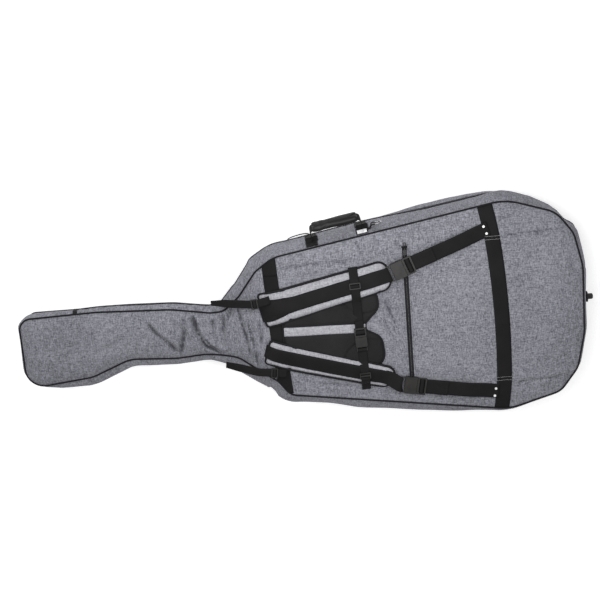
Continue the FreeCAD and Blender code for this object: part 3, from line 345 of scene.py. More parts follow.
def tube(name, path, radius, material, closed=False, sides=10, flat=1.0, up=(0.0, 0.0, 1.0)):
    """A round or flattened tube along a path; flat is its height over its width."""
    path = np.asarray(path, float)
    tangent = frames_along(path, closed)
    side = np.cross(tangent, np.asarray(up))
    side /= np.linalg.norm(side, axis=1)[:, None]
    rise = np.cross(side, tangent)
    angles = np.arange(sides) * 2 * math.pi / sides
    points = (path[:, None] + radius * np.cos(angles)[None, :, None] * side[:, None]
              + radius * flat * np.sin(angles)[None, :, None] * rise[:, None]).reshape(-1, 3)
    faces = [f[::-1] for f in grid_faces(len(path), sides, closed, True)]
    if not closed:
        faces.append(tuple(range(sides))[::-1])
        faces.append(tuple(range((len(path) - 1) * sides, len(path) * sides)))
    made = piece(name, points, faces, material)
    recalculate(made)
    return made


def recalculate(made):
    """Turns a closed mesh's faces outwards."""
    work = bmesh.new()
    work.from_mesh(made.data)
    bmesh.ops.recalc_face_normals(work, faces=work.faces)
    work.to_mesh(made.data)
    work.free()


# %% [markdown]
# ## The outline of the back panel
# The panel is a few straight or gently bent runs joined by arcs: a lower bout, two straight sides,
# sloping shoulders, a neck that droops to one side, and the head. The outline is sampled once, and
# the panel, the gusset, the corded edges and the zipper all follow it.

# %% Rounded corners
OUTLINE = [     # x, y, corner radius
    (0.953, 0.118, 0.16), (0.925, 0.235, 0.09), (0.868, 0.311, 0.10), (0.702, 0.3665, 0.20),
    (-0.080, 0.2355, 0.12), (-0.140, 0.189, 0.07), (-0.203, 0.099, 0.09), (-0.262, 0.042, 0.06),
    (-0.310, 0.037, 0.035), (-0.440, 0.060, 0.30), (-0.700, 0.073, 0.40),
    (-0.963, 0.068, 0.040), (-0.963, -0.180, 0.062), (-0.735, -0.157, 0.15), (-0.600, -0.103, 0.12),
    (-0.440, -0.114, 0.16), (-0.340, -0.108, 0.12), (-0.222, -0.118, 0.070),
    (-0.094, -0.196, 0.045),
    (-0.055, -0.249, 0.050), (0.690, -0.3655, 0.18), (0.868, -0.316, 0.07), (0.928, -0.236, 0.07),
    (0.953, -0.110, 0.16),
]


def rounded(corners, step):
    """Points round a closed outline of straight runs and tangent arcs, about a step apart."""
    points = []
    count = len(corners)
    for i in range(count):
        here = np.array(corners[i][:2])
        before = np.array(corners[i - 1][:2]) - here
        after = np.array(corners[(i + 1) % count][:2]) - here
        before, after = before / np.linalg.norm(before), after / np.linalg.norm(after)
        half = math.acos(float(np.clip(before @ after, -1, 1))) / 2
        radius = corners[i][2]
        start = here + before * radius / math.tan(half)
        stop = here + after * radius / math.tan(half)
        middle = (before + after) / np.linalg.norm(before + after)
        centre = here + middle * radius / math.sin(half)
        first = math.atan2(*(start - centre)[::-1])
        turn = math.atan2(*(stop - centre)[::-1]) - first
        turn = (turn + math.pi) % (2 * math.pi) - math.pi
        count_arc = max(3, int(abs(turn) * radius / step) + 2)
        for share in np.linspace(0, 1, count_arc):
            angle = first + turn * share
            points.append(centre + radius * np.array([math.cos(angle), math.sin(angle)]))
    points = np.array(points)
    closed = np.vstack([points, points[:1]])
    lengths = distances(closed)
    places = np.linspace(0, lengths[-1], max(8, int(lengths[-1] / step)), endpoint=False)
    return np.column_stack([np.interp(places, lengths, closed[:, k]) for k in (0, 1)])


RIM_SPACING = 0.0065
RIM = rounded(OUTLINE, RIM_SPACING)
RIM_TANGENT = frames_along(np.column_stack([RIM, np.zeros(len(RIM))]), closed=True)
RIM_NORMAL = np.column_stack([RIM_TANGENT[:, 1], -RIM_TANGENT[:, 0]])
HEAD_END, BOTTOM_END = RIM[:, 0].min(), RIM[:, 0].max()


def chain(upper):
    """The outline's upper or lower half, as y against rising x."""
    corner_x = RIM[:, 0]
    start = int(np.argmax(corner_x - 1e-4 * np.abs(RIM[:, 1] - 0.05)))
    stop = int(np.argmin(corner_x))
    ordered = np.roll(RIM, -start, axis=0)
    split = (stop - start) % len(RIM)
    half = ordered[: split + 1][::-1] if upper else np.vstack([ordered[split:], ordered[:1]])
    xs, keep = np.unique(half[:, 0].round(5), return_index=True)
    ys = half[keep, 1]
    for end in (HEAD_END, BOTTOM_END):
        at_end = half[np.abs(half[:, 0] - end) < 5e-4, 1]
        ys[np.argmin(np.abs(xs - end))] = at_end.max() if upper else at_end.min()
    return xs, ys


UPPER, LOWER = chain(True), chain(False)


def y_high(x):
    return np.interp(x, *UPPER)


def y_low(x):
    return np.interp(x, *LOWER)


print("outline points", len(RIM), "length of the bag", round(BOTTOM_END - HEAD_END, 3))


# %% [markdown]
# ## The shape of the back
# Padding crowns the back: it rises from its corded edge over a hand's width and is nearly flat in
# the middle. From the shoulders it drops to the shallower neck. Folds are added as soft grooves and
# ridges along short lines, with a low swell so that no stretch is quite flat.

# %% Heights
EDGE_BODY, EDGE_NECK = 0.220, 0.126
CROWN_BODY, CROWN_NECK = 0.017, 0.026
SLOPE_TOP, SLOPE_FOOT = -0.075, -0.330


def smooth(value, low, high):
    share = np.clip((value - low) / (high - low), 0, 1)
    return share * share * (3 - 2 * share)


def edge_z(x):
    """Height of the back's corded edge."""
    return EDGE_NECK + (EDGE_BODY - EDGE_NECK) * smooth(x, SLOPE_FOOT, SLOPE_TOP)


def from_edge(x, y):
    """Distance from the panel's edge, roughly."""
    side = np.minimum(y - y_low(x), y_high(x) - y)
    ends = np.minimum(BOTTOM_END - x, x - HEAD_END)
    side, ends = np.maximum(side, 0), np.maximum(ends, 0)
    return side * ends / np.sqrt(side**2 + ends**2 + 1e-9)


def swell(x, y, size, seed):
    """Smooth, repeatable unevenness between -1 and 1."""
    generator = np.random.default_rng(seed)
    total = np.zeros(np.broadcast(x, y).shape)
    for _ in range(7):
        angle, phase = generator.uniform(0, math.pi), generator.uniform(0, 2 * math.pi)
        pitch = size * generator.uniform(0.7, 1.6)
        along = x * math.cos(angle) + y * math.sin(angle)
        total = total + np.sin(along * 2 * math.pi / pitch + phase)
    return total / 4.0


FOLD_DEPTH, FOLD_NARROW = 1.6, 0.85
FOLDS = [       # half width, height (below zero is a groove), then points x, y
    (0.0045, -0.0050, (0.199, 0.280), (0.226, 0.200)),
    (0.012, 0.0025, (0.212, 0.284), (0.240, 0.200)),
    (0.0060, -0.0050, (0.273, 0.095), (0.322, -0.045)),
    (0.014, 0.0030, (0.288, 0.100), (0.338, -0.045)),
    (0.0060, -0.0040, (-0.060, 0.201), (0.060, 0.205), (0.187, 0.206)),
    (0.015, 0.0022, (-0.060, 0.186), (0.187, 0.190)),
    (0.013, 0.0018, (-0.060, 0.216), (0.187, 0.220)),
    (0.0045, -0.0050, (0.690, 0.250), (0.900, 0.256)),
    (0.014, 0.0018, (0.690, 0.235), (0.900, 0.241)),
    (0.0045, -0.0050, (0.705, -0.268), (0.875, -0.262)),
    (0.014, 0.0018, (0.705, -0.253), (0.875, -0.247)),
    (0.0065, -0.0110, (-0.372, 0.046), (-0.366, 0.020), (-0.357, -0.022), (-0.334, -0.075),
     (-0.272, -0.117)),
    (0.0120, 0.0070, (-0.352, 0.035), (-0.338, -0.020), (-0.312, -0.068), (-0.262, -0.100)),
    (0.0055, -0.0060, (-0.339, -0.030), (-0.317, -0.070), (-0.280, -0.100)),
    (0.0100, 0.0050, (-0.385, 0.045), (-0.380, -0.020), (-0.362, -0.075), (-0.330, -0.108)),
    (0.0060, -0.0070, (-0.402, 0.040), (-0.403, -0.024), (-0.419, -0.085), (-0.426, -0.110)),
    (0.0110, 0.0050, (-0.418, 0.040), (-0.420, -0.020), (-0.436, -0.080)),
    (0.0075, -0.0060, (-0.532, 0.035), (-0.496, -0.016), (-0.460, -0.057), (-0.432, -0.092)),
    (0.0150, 0.0055, (-0.512, 0.040), (-0.478, -0.010), (-0.446, -0.050)),
    (0.0070, -0.0040, (-0.480, -0.020), (-0.450, -0.060), (-0.431, -0.091)),
    (0.0060, -0.0080, (-0.296, 0.036), (-0.304, 0.000), (-0.305, -0.030)),
    (0.0110, 0.0055, (-0.283, 0.040), (-0.290, -0.010), (-0.292, -0.060)),
    (0.0060, -0.0075, (-0.214, 0.080), (-0.206, 0.027), (-0.189, -0.043), (-0.182, -0.112)),
    (0.0110, 0.0060, (-0.199, 0.090), (-0.191, 0.027), (-0.175, -0.043), (-0.168, -0.112)),
    (0.0060, -0.0060, (-0.266, 0.046), (-0.264, 0.005), (-0.275, -0.042)),
    (0.0110, 0.0045, (-0.250, 0.052), (-0.250, 0.005), (-0.258, -0.050)),
    (0.0050, -0.0060, (-0.183, 0.025), (-0.170, -0.045), (-0.160, -0.115), (-0.160, -0.157)),
    (0.0050, -0.0055, (-0.221, 0.076), (-0.240, 0.044), (-0.253, 0.011)),
    (0.0050, -0.0050, (-0.143, 0.035), (-0.140, -0.047), (-0.140, -0.117)),
    (0.0090, 0.0040, (-0.152, 0.090), (-0.151, 0.000), (-0.148, -0.110)),
    (0.0060, -0.0070, (-0.370, 0.055), (-0.337, 0.050), (-0.300, 0.034)),
    (0.0060, -0.0060, (-0.322, -0.113), (-0.269, -0.112), (-0.225, -0.120)),
    (0.0060, -0.0060, (-0.232, -0.125), (-0.200, -0.143), (-0.175, -0.155)),
    (0.014, -0.0040, (-0.700, -0.070), (-0.600, -0.020)),
    (0.018, 0.0035, (-0.720, -0.050), (-0.590, 0.010)),
    (0.014, 0.0025, (-0.840, 0.055), (-0.700, 0.030)),
    (0.016, -0.0025, (-0.880, -0.120), (-0.800, -0.060)),
    (0.006, -0.0035, (0.020, -0.212), (0.100, -0.222), (0.190, -0.244)),
    (0.010, 0.0025, (0.020, -0.226), (0.100, -0.236), (0.190, -0.258)),
    (0.005, -0.0030, (0.060, -0.215), (0.085, -0.255)),
    (0.005, -0.0030, (0.095, -0.222), (0.110, -0.262)),
    (0.005, -0.0040, (0.243, -0.252), (0.243, -0.285)),
    (0.012, -0.0025, (0.300, -0.275), (0.520, -0.320)),
    (0.014, -0.0020, (0.300, 0.262), (0.430, 0.290)),
    (0.008, -0.0025, (0.560, -0.250), (0.640, -0.225)),
    (0.010, 0.0025, (0.560, -0.268), (0.640, -0.243)),
    (0.006, -0.0030, (0.600, -0.330), (0.640, -0.310)),
    (0.040, -0.0025, (0.430, 0.120), (0.470, -0.080)),
    (0.045, 0.0025, (0.540, 0.200), (0.580, 0.000)),
    (0.045, -0.0025, (0.760, 0.120), (0.800, -0.160)),
    (0.040, 0.0020, (0.850, 0.180), (0.880, -0.120)),
    (0.006, -0.0040, (0.898, 0.150), (0.935, 0.125)),
    (0.005, -0.0030, (0.905, 0.135), (0.938, 0.105)),
    (0.006, -0.0030, (0.820, -0.290), (0.850, -0.305)),
    (0.006, -0.0030, (0.830, -0.275), (0.865, -0.292)),
    (0.006, -0.0040, (0.272, 0.020), (0.300, -0.080)),
    (0.012, 0.0030, (0.290, 0.010), (0.318, -0.095)),
]


def folds(x, y, creases=False):
    """Height of all the folds, or of the narrow creases only, where painted shade darkens the
    cloth.
    """
    total = np.zeros(np.broadcast(x, y).shape)
    wander = swell(x, y, 0.09, 5) * 0.0025
    for half, height, *points in FOLDS:
        if creases and (height > 0 or half > 0.008):
            continue
        half = half * (0.6 if creases else 1.0)
        near = np.full(total.shape, 9.0)
        place, reach = np.zeros(total.shape), 0.0
        for (x0, y0), (x1, y1) in zip(points, points[1:]):
            length = math.hypot(x1 - x0, y1 - y0)
            ax, ay = (x1 - x0) / length, (y1 - y0) / length
            along = np.clip((x - x0) * ax + (y - y0) * ay, 0, length)
            gap = np.hypot(x - x0 - along * ax, y - y0 - along * ay)
            closer = gap < near
            near, place = np.where(closer, gap, near), np.where(closer, reach + along, place)
            reach += length
        fade = smooth(place, -0.004, 0.03) * (1 - smooth(place, reach - 0.03, reach + 0.004))
        across = (near + wander) / (FOLD_NARROW * half)
        total = total + FOLD_DEPTH * height * fade * np.exp(-across ** 2)
    return total


POCKET_X = float(sum(corner[0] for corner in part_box("pocket_zipper")) / 2)
POCKET_LEVEL = 0.2344       # the cloth lies flat along the pocket's zipper


def back_z(x, y):
    """Height of the back's outer cloth."""
    x, y = np.asarray(x, float), np.asarray(y, float)
    body = smooth(x, SLOPE_FOOT, SLOPE_TOP)
    reach = 0.075 + 0.085 * body
    inward = np.clip(from_edge(x, y) / reach, 0, 1)
    crown = (CROWN_NECK + (CROWN_BODY - CROWN_NECK) * body) * (1 - (1 - inward) ** 2.3)
    loose = smooth(from_edge(x, y), 0.0, 0.03)
    low = swell(x, y, 0.22, 3) * 0.0016 + swell(x, y, 0.07, 4) * 0.0007
    height = edge_z(x) + crown + loose * (low + folds(x, y))
    channel = 1 - smooth(np.abs(x - POCKET_X), 0.010, 0.032)
    channel = channel * (1 - smooth(np.abs(y), 0.236, 0.256))
    return height - channel * np.maximum(height - POCKET_LEVEL, 0)


def puckers(s, seed):
    """Gathers that the sewing leaves along a seam, against the distance round the outline."""
    generator = np.random.default_rng(seed)
    total = np.zeros(len(s))
    for waves in generator.integers(60, 190, 9):
        total += np.sin(s / RIM_LENGTH * 2 * math.pi * int(waves) + generator.uniform(0, 6.28))
    return total / 3.0


RIM_STEP = np.linalg.norm(np.roll(RIM, -1, axis=0) - RIM, axis=1)
RIM_S = np.concatenate([[0], np.cumsum(RIM_STEP)[:-1]])
RIM_LENGTH = float(RIM_STEP.sum())
print("back in the middle of the body", round(float(back_z(0.4, 0.0)), 4), "on the neck",
      round(float(back_z(-0.6, -0.02)), 4))


# %% [markdown]
# ## Padded walls
# A wall is cloth, foam and lining. The outer cloth is modelled, and Solidify adds the thickness
# inwards with the lining on its inner face. The panel is a grid whose rows run across the bag,
# because its outline never doubles back along X.

# %% Back panel
WALL = 0.013            # cloth, foam and lining together
PANEL_COLUMNS = 104
CREASE_DEPTH = 0.013    # a fold this deep gets the darkest painted shade


def thicken(made, thickness=WALL, inner=LINING, rim=FOAM_EDGE):
    made.data.materials.append(inner)
    made.data.materials.append(rim)
    wall = made.modifiers.new("wall", "SOLIDIFY")
    wall.thickness, wall.offset = thickness, -1.0
    wall.use_rim, wall.use_even_offset = True, True
    wall.material_offset, wall.material_offset_rim = 1, 2
    return made


def panel_grid(columns, height, inset=0.0):
    """Grid over the outline: stations along X, columns across, with a height for each point."""
    stations = np.unique(np.concatenate([UPPER[0], LOWER[0]]).round(4))
    keep = [stations[0]]
    for x in stations[1:]:
        if x - keep[-1] > (0.0008 if x < HEAD_END + 0.01 or x > BOTTOM_END - 0.01 else 0.0045):
            keep.append(x)
    keep[-1] = stations[-1]
    stations = np.array(keep)
    even, rounded_share = np.linspace(0, 1, columns), np.linspace(0, math.pi, columns)
    shares = (1 - np.cos(rounded_share)) / 2 * 0.25 + even * 0.75
    x = np.repeat(stations, columns)
    low, high = y_low(stations) + inset, y_high(stations) - inset
    y = (low[:, None] + (high - low)[:, None] * shares[None, :]).ravel()
    return np.column_stack([x, y, height(x, y)]), len(stations)


points, rows = panel_grid(PANEL_COLUMNS, back_z)
faces = [f[::-1] for f in grid_faces(rows, PANEL_COLUMNS)]
back_panel = piece("back_panel_cloth", points, faces, GREY)
# Painted shade for the narrow folds, stored on the panel's points for the melange to darken the
# cloth.
depth = -folds(points[:, 0], points[:, 1], creases=True) / CREASE_DEPTH
crease = back_panel.data.attributes.new("crease", "FLOAT", "POINT")
crease.data.foreach_set("value", (np.clip(depth, 0, 1) ** 1.3).astype(np.float32))
thicken(back_panel)
settle(back_panel, None, ("back_panel", "back_panel_foam", "back_lining"))
print("back panel quads", len(back_panel.data.polygons))


# %% [markdown]
# ## The gusset
# The side wall bulges beyond the panels. Its front half is wider towards -Y, because the bag has
# slumped that way, so the bulge depends on which way the wall faces. Both halves hang on the same
# outline: the back half runs from the corded edge down to the zipper, the front half from the
# zipper to the front panel.

# %% Bulge
ZIP_Z = 0.090
ZIP_HALF = 0.0042       # half the width of tape that shows between the two halves
FLOOR_Z = 0.004
MID, LOW = 0.6, 0.46    # heights between the rows below, as shares of the way down each half

# x, then how far the wall stands out above the zipper, at it, below it and at the floor
SIDE_UP = np.array([
    (-0.97, 0.006, 0.006, 0.000, -0.012), (-0.77, 0.008, 0.008, -0.004, -0.018),
    (-0.60, 0.0125, 0.0125, 0.000, -0.012),
    (-0.35, 0.0155, 0.0165, 0.002, -0.010), (-0.26, 0.019, 0.022, 0.006, -0.008),
    (-0.20, 0.026, 0.029, 0.008, -0.008),
    (-0.14, 0.024, 0.027, 0.004, -0.010), (-0.09, 0.017, 0.020, -0.002, -0.016),
    (-0.03, 0.014, 0.016, -0.006, -0.018),
    (0.06, 0.0165, 0.0170, -0.004, -0.016), (0.22, 0.0180, 0.0185, 0.000, -0.012),
    (0.30, 0.0160, 0.0160, 0.007, -0.006), (0.445, 0.009, 0.0067, 0.0137, 0.000),
    (0.60, 0.010, 0.006, 0.0105, -0.003),
    (0.70, 0.023, 0.006, 0.000, -0.012), (0.79, 0.021, 0.006, -0.004, -0.016),
    (0.85, 0.009, 0.002, -0.002, -0.014),
    (0.90, 0.004, 0.004, 0.000, -0.010), (0.96, 0.008, 0.008, 0.004, -0.008)])
SIDE_DOWN = np.array([
    (-0.97, 0.004, 0.004, 0.000, -0.012), (-0.93, 0.008, 0.008, 0.004, -0.010),
    (-0.85, 0.026, 0.030, 0.026, 0.012),
    (-0.76, 0.034, 0.040, 0.036, 0.020), (-0.60, 0.032, 0.037, 0.034, 0.020),
    (-0.45, 0.030, 0.034, 0.030, 0.016),
    (-0.32, 0.030, 0.032, 0.026, 0.012), (-0.25, 0.044, 0.042, 0.036, 0.018),
    (-0.19, 0.055, 0.052, 0.044, 0.024),
    (-0.14, 0.058, 0.055, 0.046, 0.026), (-0.10, 0.057, 0.054, 0.045, 0.025),
    (-0.06, 0.052, 0.049, 0.041, 0.022),
    (0.00, 0.047, 0.045, 0.038, 0.020), (0.08, 0.046, 0.044, 0.038, 0.020),
    (0.18, 0.053, 0.050, 0.044, 0.026),
    (0.28, 0.052, 0.049, 0.043, 0.026), (0.40, 0.050, 0.047, 0.042, 0.026),
    (0.54, 0.043, 0.042, 0.037, 0.020),
    (0.64, 0.034, 0.034, 0.030, 0.014), (0.76, 0.028, 0.030, 0.026, 0.010),
    (0.88, 0.018, 0.020, 0.016, 0.002),
    (0.96, 0.020, 0.022, 0.018, 0.004)])
END_HEAD = np.array((0.010, 0.011, 0.006, -0.006))
END_BOTTOM = np.array((0.024, 0.027, 0.022, 0.008))


def rows_at(facing, x):
    """The four offsets at x, where facing is the y of the wall's normal."""
    facing, x = np.broadcast_arrays(np.asarray(facing, float), np.asarray(x, float))
    end = np.where((x < 0)[..., None], END_HEAD, END_BOTTOM)
    side = np.zeros(end.shape)
    for k in range(4):
        up = np.interp(x, SIDE_UP[:, 0], SIDE_UP[:, k + 1])
        down = np.interp(x, SIDE_DOWN[:, 0], SIDE_DOWN[:, k + 1])
        side[..., k] = np.where(facing > 0, up, down)
    weight = smooth(np.abs(facing), 0.25, 0.70)[..., None]
    return side * weight + end * (1 - weight)


def wall_offset(z, top, facing, x):
    """Offset of the wall's cloth from the outline, at a height below its top edge."""
    rows = rows_at(facing, x)
    mid, at_zip, low, foot = (rows[..., k] for k in range(4))
    share = np.clip((top - z) / (top - ZIP_Z), 0, 1)
    rise = mid * np.sin(np.clip(share / MID, 0, 1) * math.pi / 2) ** 0.85
    upper = rise + (at_zip - mid) * smooth(share, MID, 1.0)
    below = np.clip((ZIP_Z - z) / (ZIP_Z - FLOOR_Z), 0, 1)
    a = at_zip * (below - LOW) * (below - 1) / LOW
    b = low * below * (below - 1) / (LOW * (LOW - 1))
    c = foot * below * (below - LOW) / (1 - LOW)
    return np.where(z >= ZIP_Z, upper, a + b + c)


RIM_EDGE = edge_z(RIM[:, 0])


def rim_offset(z):
    """The wall's offset at every outline point."""
    return wall_offset(z, RIM_EDGE, RIM_NORMAL[:, 1], RIM[:, 0])


def wall_points(shares, top, bottom, seed):
    """Rows of the gusset from top to bottom, with one column for each outline point."""
    rows_of = []
    gather, gather_low = puckers(RIM_S, seed), puckers(RIM_S, seed + 1)
    for share in shares:
        z = top + (bottom - top) * share
        offset = rim_offset(z)
        near = np.exp(-share / 0.18) * gather + np.exp(-(1 - share) / 0.18) * gather_low
        slack = swell(RIM_S, z * np.ones(len(RIM)), 0.16, seed + 2)
        slack = slack * 0.0022 * math.sin(share * math.pi)
        sewn = math.sin(min(1.0, share * 8, (1 - share) * 8) * math.pi / 2)
        offset = offset + near * 0.0009 * sewn + slack
        rows_of.append(np.column_stack([RIM + RIM_NORMAL * offset[:, None], z]))
    return np.concatenate(rows_of)


def gusset(name, top, bottom, rows, seed):
    shares = (1 - np.cos(np.linspace(0, math.pi, rows))) / 2
    points = wall_points(shares, top, bottom, seed)
    faces = [f[::-1] for f in grid_faces(rows, len(RIM), close_columns=True)]
    return piece(name, points, faces, GREY)


ones = np.ones(len(RIM))
back_gusset = thicken(gusset("back_gusset_cloth", RIM_EDGE, (ZIP_Z + ZIP_HALF) * ones, 18, 21))
settle(back_gusset, None, ("back_gusset_fabric", "back_gusset_foam",
                                          "neck_hood_fabric",
                                          "neck_hood_foam", "neck_hood_lining"))
front_gusset = thicken(gusset("front_gusset_cloth", (ZIP_Z - ZIP_HALF) * ones, FLOOR_Z * ones, 14,
                              31))
settle(front_gusset, SHELL, ("front_gusset_fabric", "front_gusset_foam",
                                            "front_lining"))
print("gusset quads", len(back_gusset.data.polygons), len(front_gusset.data.polygons))


# %% [markdown]
# ## Front panel
# The front panel carries the bag's weight, so it is flat on the floor, with its own corded edge. It
# has the outline of the gusset's lower edge.

# %% Panel on the floor
FRONT_RIM = RIM + RIM_NORMAL * rim_offset(FLOOR_Z * ones)[:, None]
RINGS = 26              # from the rim to the middle line
FRONT_WALL = 0.010


def front_panel():
    """Rings shrunk from the rim towards the bag's middle line."""
    rings = []
    middle = np.column_stack([np.clip(FRONT_RIM[:, 0], HEAD_END + 0.1, BOTTOM_END - 0.28),
                              0 * FRONT_RIM[:, 1]])
    middle[:, 1] = (y_high(middle[:, 0]) + y_low(middle[:, 0])) / 2 - 0.012
    for share in np.linspace(0, 1, RINGS):
        xy = FRONT_RIM + (middle - FRONT_RIM) * share
        uneven = 1 + swell(xy[:, 0], xy[:, 1], 0.3, 8)
        z = 0.0012 + 0.0026 * math.exp(-share / 0.02) + 0.0006 * uneven
        rings.append(np.column_stack([xy, z * np.ones(len(xy))]))
    return np.concatenate(rings)


faces = grid_faces(RINGS, len(RIM), close_columns=True)
panel = piece("front_panel_cloth", front_panel(), faces, GREY)
panel.data.flip_normals()
thicken(panel, FRONT_WALL)
settle(panel, SHELL, ("front_panel", "front_panel_foam"))


# %% [markdown]
# ## Corded edges
# A black cord is sewn into the seam round each panel. It is one long tube on the outline, a little
# proud of the cloth on both sides.

# %% Piping
CORD = 0.0031           # radius
back_cord = np.column_stack([RIM + RIM_NORMAL * 0.0010, RIM_EDGE + 0.0008])
settle(tube("back_corded_edge", back_cord, CORD, CORDED_BLACK, closed=True), None,
       ("back_piping", "front_and_neck_piping"))
front_cord = np.column_stack([FRONT_RIM + RIM_NORMAL * 0.0012, (FLOOR_Z + 0.0005) * ones])
settle(tube("front_corded_edge", front_cord, CORD, CORDED_BLACK, closed=True), SHELL)


# %% [markdown]
# ## Stitches and zipper teeth
# Both are one small shape repeated along a line, which is what Geometry Nodes are for. The tree
# resamples the lines at the spacing, puts one grain on each point with its long side along the
# line, and ends in Realize Instances and Set Material. The result is kept as a plain mesh.

# %% The tree
def repeat_tree():
    tree = bpy.data.node_groups.new("grains_along_lines", "GeometryNodeTree")
    face = tree.interface
    face.new_socket("Geometry", in_out="INPUT", socket_type="NodeSocketGeometry")
    for name, value in (("Spacing", 0.004), ("Length", 0.003), ("Width", 0.0008),
                        ("Height", 0.0008)):
        face.new_socket(name, in_out="INPUT", socket_type="NodeSocketFloat").default_value = value
    face.new_socket("Seed", in_out="INPUT", socket_type="NodeSocketInt").default_value = 1
    face.new_socket("Material", in_out="INPUT", socket_type="NodeSocketMaterial")
    face.new_socket("Geometry", in_out="OUTPUT", socket_type="NodeSocketGeometry")

    def add(kind, **settings):
        made = tree.nodes.new(kind)
        for key, value in settings.items():
            setattr(made, key, value)
        return made

    link = tree.links.new
    given = add("NodeGroupInput")
    result = add("NodeGroupOutput")
    curve = add("GeometryNodeMeshToCurve")
    spaced = add("GeometryNodeResampleCurve", mode="LENGTH")
    tangent = add("GeometryNodeInputTangent")
    turn = add("FunctionNodeAlignRotationToVector", axis="X")
    uneven = add("FunctionNodeRandomValue", data_type="FLOAT_VECTOR")
    uneven.inputs["Min"].default_value = (0.92, 0.9, 0.9)
    uneven.inputs["Max"].default_value = (1.04, 1.1, 1.1)
    grain = add("GeometryNodeMeshIcoSphere")
    grain.inputs["Radius"].default_value = 0.5
    grain.inputs["Subdivisions"].default_value = 1
    size = add("ShaderNodeCombineXYZ")
    shaped = add("GeometryNodeTransform")
    put = add("GeometryNodeInstanceOnPoints")
    real = add("GeometryNodeRealizeInstances")
    soft = add("GeometryNodeSetShadeSmooth")
    paint = add("GeometryNodeSetMaterial")
    link(given.outputs["Geometry"], curve.inputs[0])
    link(curve.outputs[0], spaced.inputs["Curve"])
    link(given.outputs["Spacing"], spaced.inputs["Length"])
    link(tangent.outputs[0], turn.inputs["Vector"])
    link(given.outputs["Seed"], uneven.inputs["Seed"])
    for axis, name in zip("XYZ", ("Length", "Width", "Height")):
        link(given.outputs[name], size.inputs[axis])
    link(grain.outputs["Mesh"], soft.inputs["Geometry"])
    link(soft.outputs[0], shaped.inputs["Geometry"])
    link(size.outputs[0], shaped.inputs["Scale"])
    link(spaced.outputs[0], put.inputs["Points"])
    link(shaped.outputs[0], put.inputs["Instance"])
    link(turn.outputs[0], put.inputs["Rotation"])
    link(uneven.outputs[0], put.inputs["Scale"])
    link(put.outputs[0], real.inputs[0])
    link(real.outputs[0], paint.inputs["Geometry"])
    link(given.outputs["Material"], paint.inputs["Material"])
    link(paint.outputs[0], result.inputs[0])
    return tree


GRAINS = repeat_tree()
STITCH = (0.0030, 0.0009, 0.0007)       # length, width and height of a stitch of black thread


def grains(name, lines, spacing, size, material, seed=1):
    """Small grains along lines of points; size is length, width and height."""
    points, edges = [], []
    for line in lines:
        first = len(points)
        points += [tuple(map(float, p)) for p in line]
        edges += [(k, k + 1) for k in range(first, len(points) - 1)]
    mesh = bpy.data.meshes.new(name + "_lines")
    mesh.from_pydata(points, edges, [])
    holder = bpy.data.objects.new(name + "_lines", mesh)
    bpy.context.scene.collection.objects.link(holder)
    rule = holder.modifiers.new("grains", "NODES")
    rule.node_group = GRAINS
    values = dict(zip(("Spacing", "Length", "Width", "Height"), (spacing, *size)), Seed=seed,
                  Material=material)
    for item in GRAINS.interface.items_tree:
        if item.in_out == "INPUT" and item.name in values:
            rule[item.identifier] = values[item.name]
    bpy.context.view_layer.update()
    finished = holder.evaluated_get(bpy.context.evaluated_depsgraph_get())
    plain = bpy.data.meshes.new_from_object(finished)
    bpy.data.objects.remove(holder)
    plain.name = name
    made = bpy.data.objects.new(name, plain)
    bpy.context.scene.collection.objects.link(made)
    print(name, "faces", len(plain.polygons))
    return made


# %% [markdown]
# ## The main zipper
# The zipper runs in the gusset from the head round the bottom end to the neck. Each half is a
# narrow tape with one row of coil on its edge.

# %% Tape and coil
ZIP_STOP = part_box("zipper_front")[0][0]
COIL_PITCH, COIL_SIZE = 0.0036, (0.0030, 0.0022, 0.0034)


def zip_range():
    """Outline points that the zipper passes, in order, from the head to the neck's other side."""
    x, y = RIM[:, 0], RIM[:, 1]
    has = (x > ZIP_STOP) & ((y > -0.03) | (x > FOLD_X + FOLD_HALF))
    first = int(np.nonzero(has & ~np.roll(has, -1))[0][0])
    order = np.roll(np.arange(len(RIM)), -(first + 1))
    return [i for i in order if has[i]]


ZIP_POINTS = zip_range()


def zip_row(z, out):
    """A row of points along the zipper at a height, standing out from the wall."""
    offset = rim_offset(z * ones) + out
    return np.column_stack([RIM + RIM_NORMAL * offset[:, None], z * ones])[ZIP_POINTS]


def zip_tape(name, z_near, z_far, body, nodes):
    rows_of = [zip_row(z_near, -0.0030), zip_row(z_near, 0.0004),
               zip_row((z_near + z_far) / 2, 0.0016),
               zip_row(z_far, 0.0012), zip_row(z_far, -0.0030)]
    faces = grid_faces(len(rows_of), len(ZIP_POINTS), close_rows=True)
    made = piece(name, np.concatenate(rows_of), faces, ZIP_TAPE)
    recalculate(made)
    return settle(made, body, nodes)


zip_tape("main_zip_tape_back", ZIP_Z + 0.0012, ZIP_Z + 0.0072, None,
         ("zipper_back", "zipper_neck_back"))
zip_tape("main_zip_tape_front", ZIP_Z - 0.0012, ZIP_Z - 0.0072, SHELL, ("zipper_front",))
for name, sign, body in (("back", 1, None), ("front", -1, SHELL)):
    row = zip_row(ZIP_Z + sign * 0.0010, 0.0016)
    settle(grains("main_zip_coil_" + name, [row], COIL_PITCH, COIL_SIZE, COIL), body)


# %% [markdown]
# ## Straps
# A strap is a flat band that lies on what is under it. Its path is a few points, each with a lift
# above the back's cloth or a height of its own, joined by a smooth curve. Its section has softened
# edges, and its UV map holds metres along and across for the ribs.

# %% Bands of webbing
WEB = 0.0019


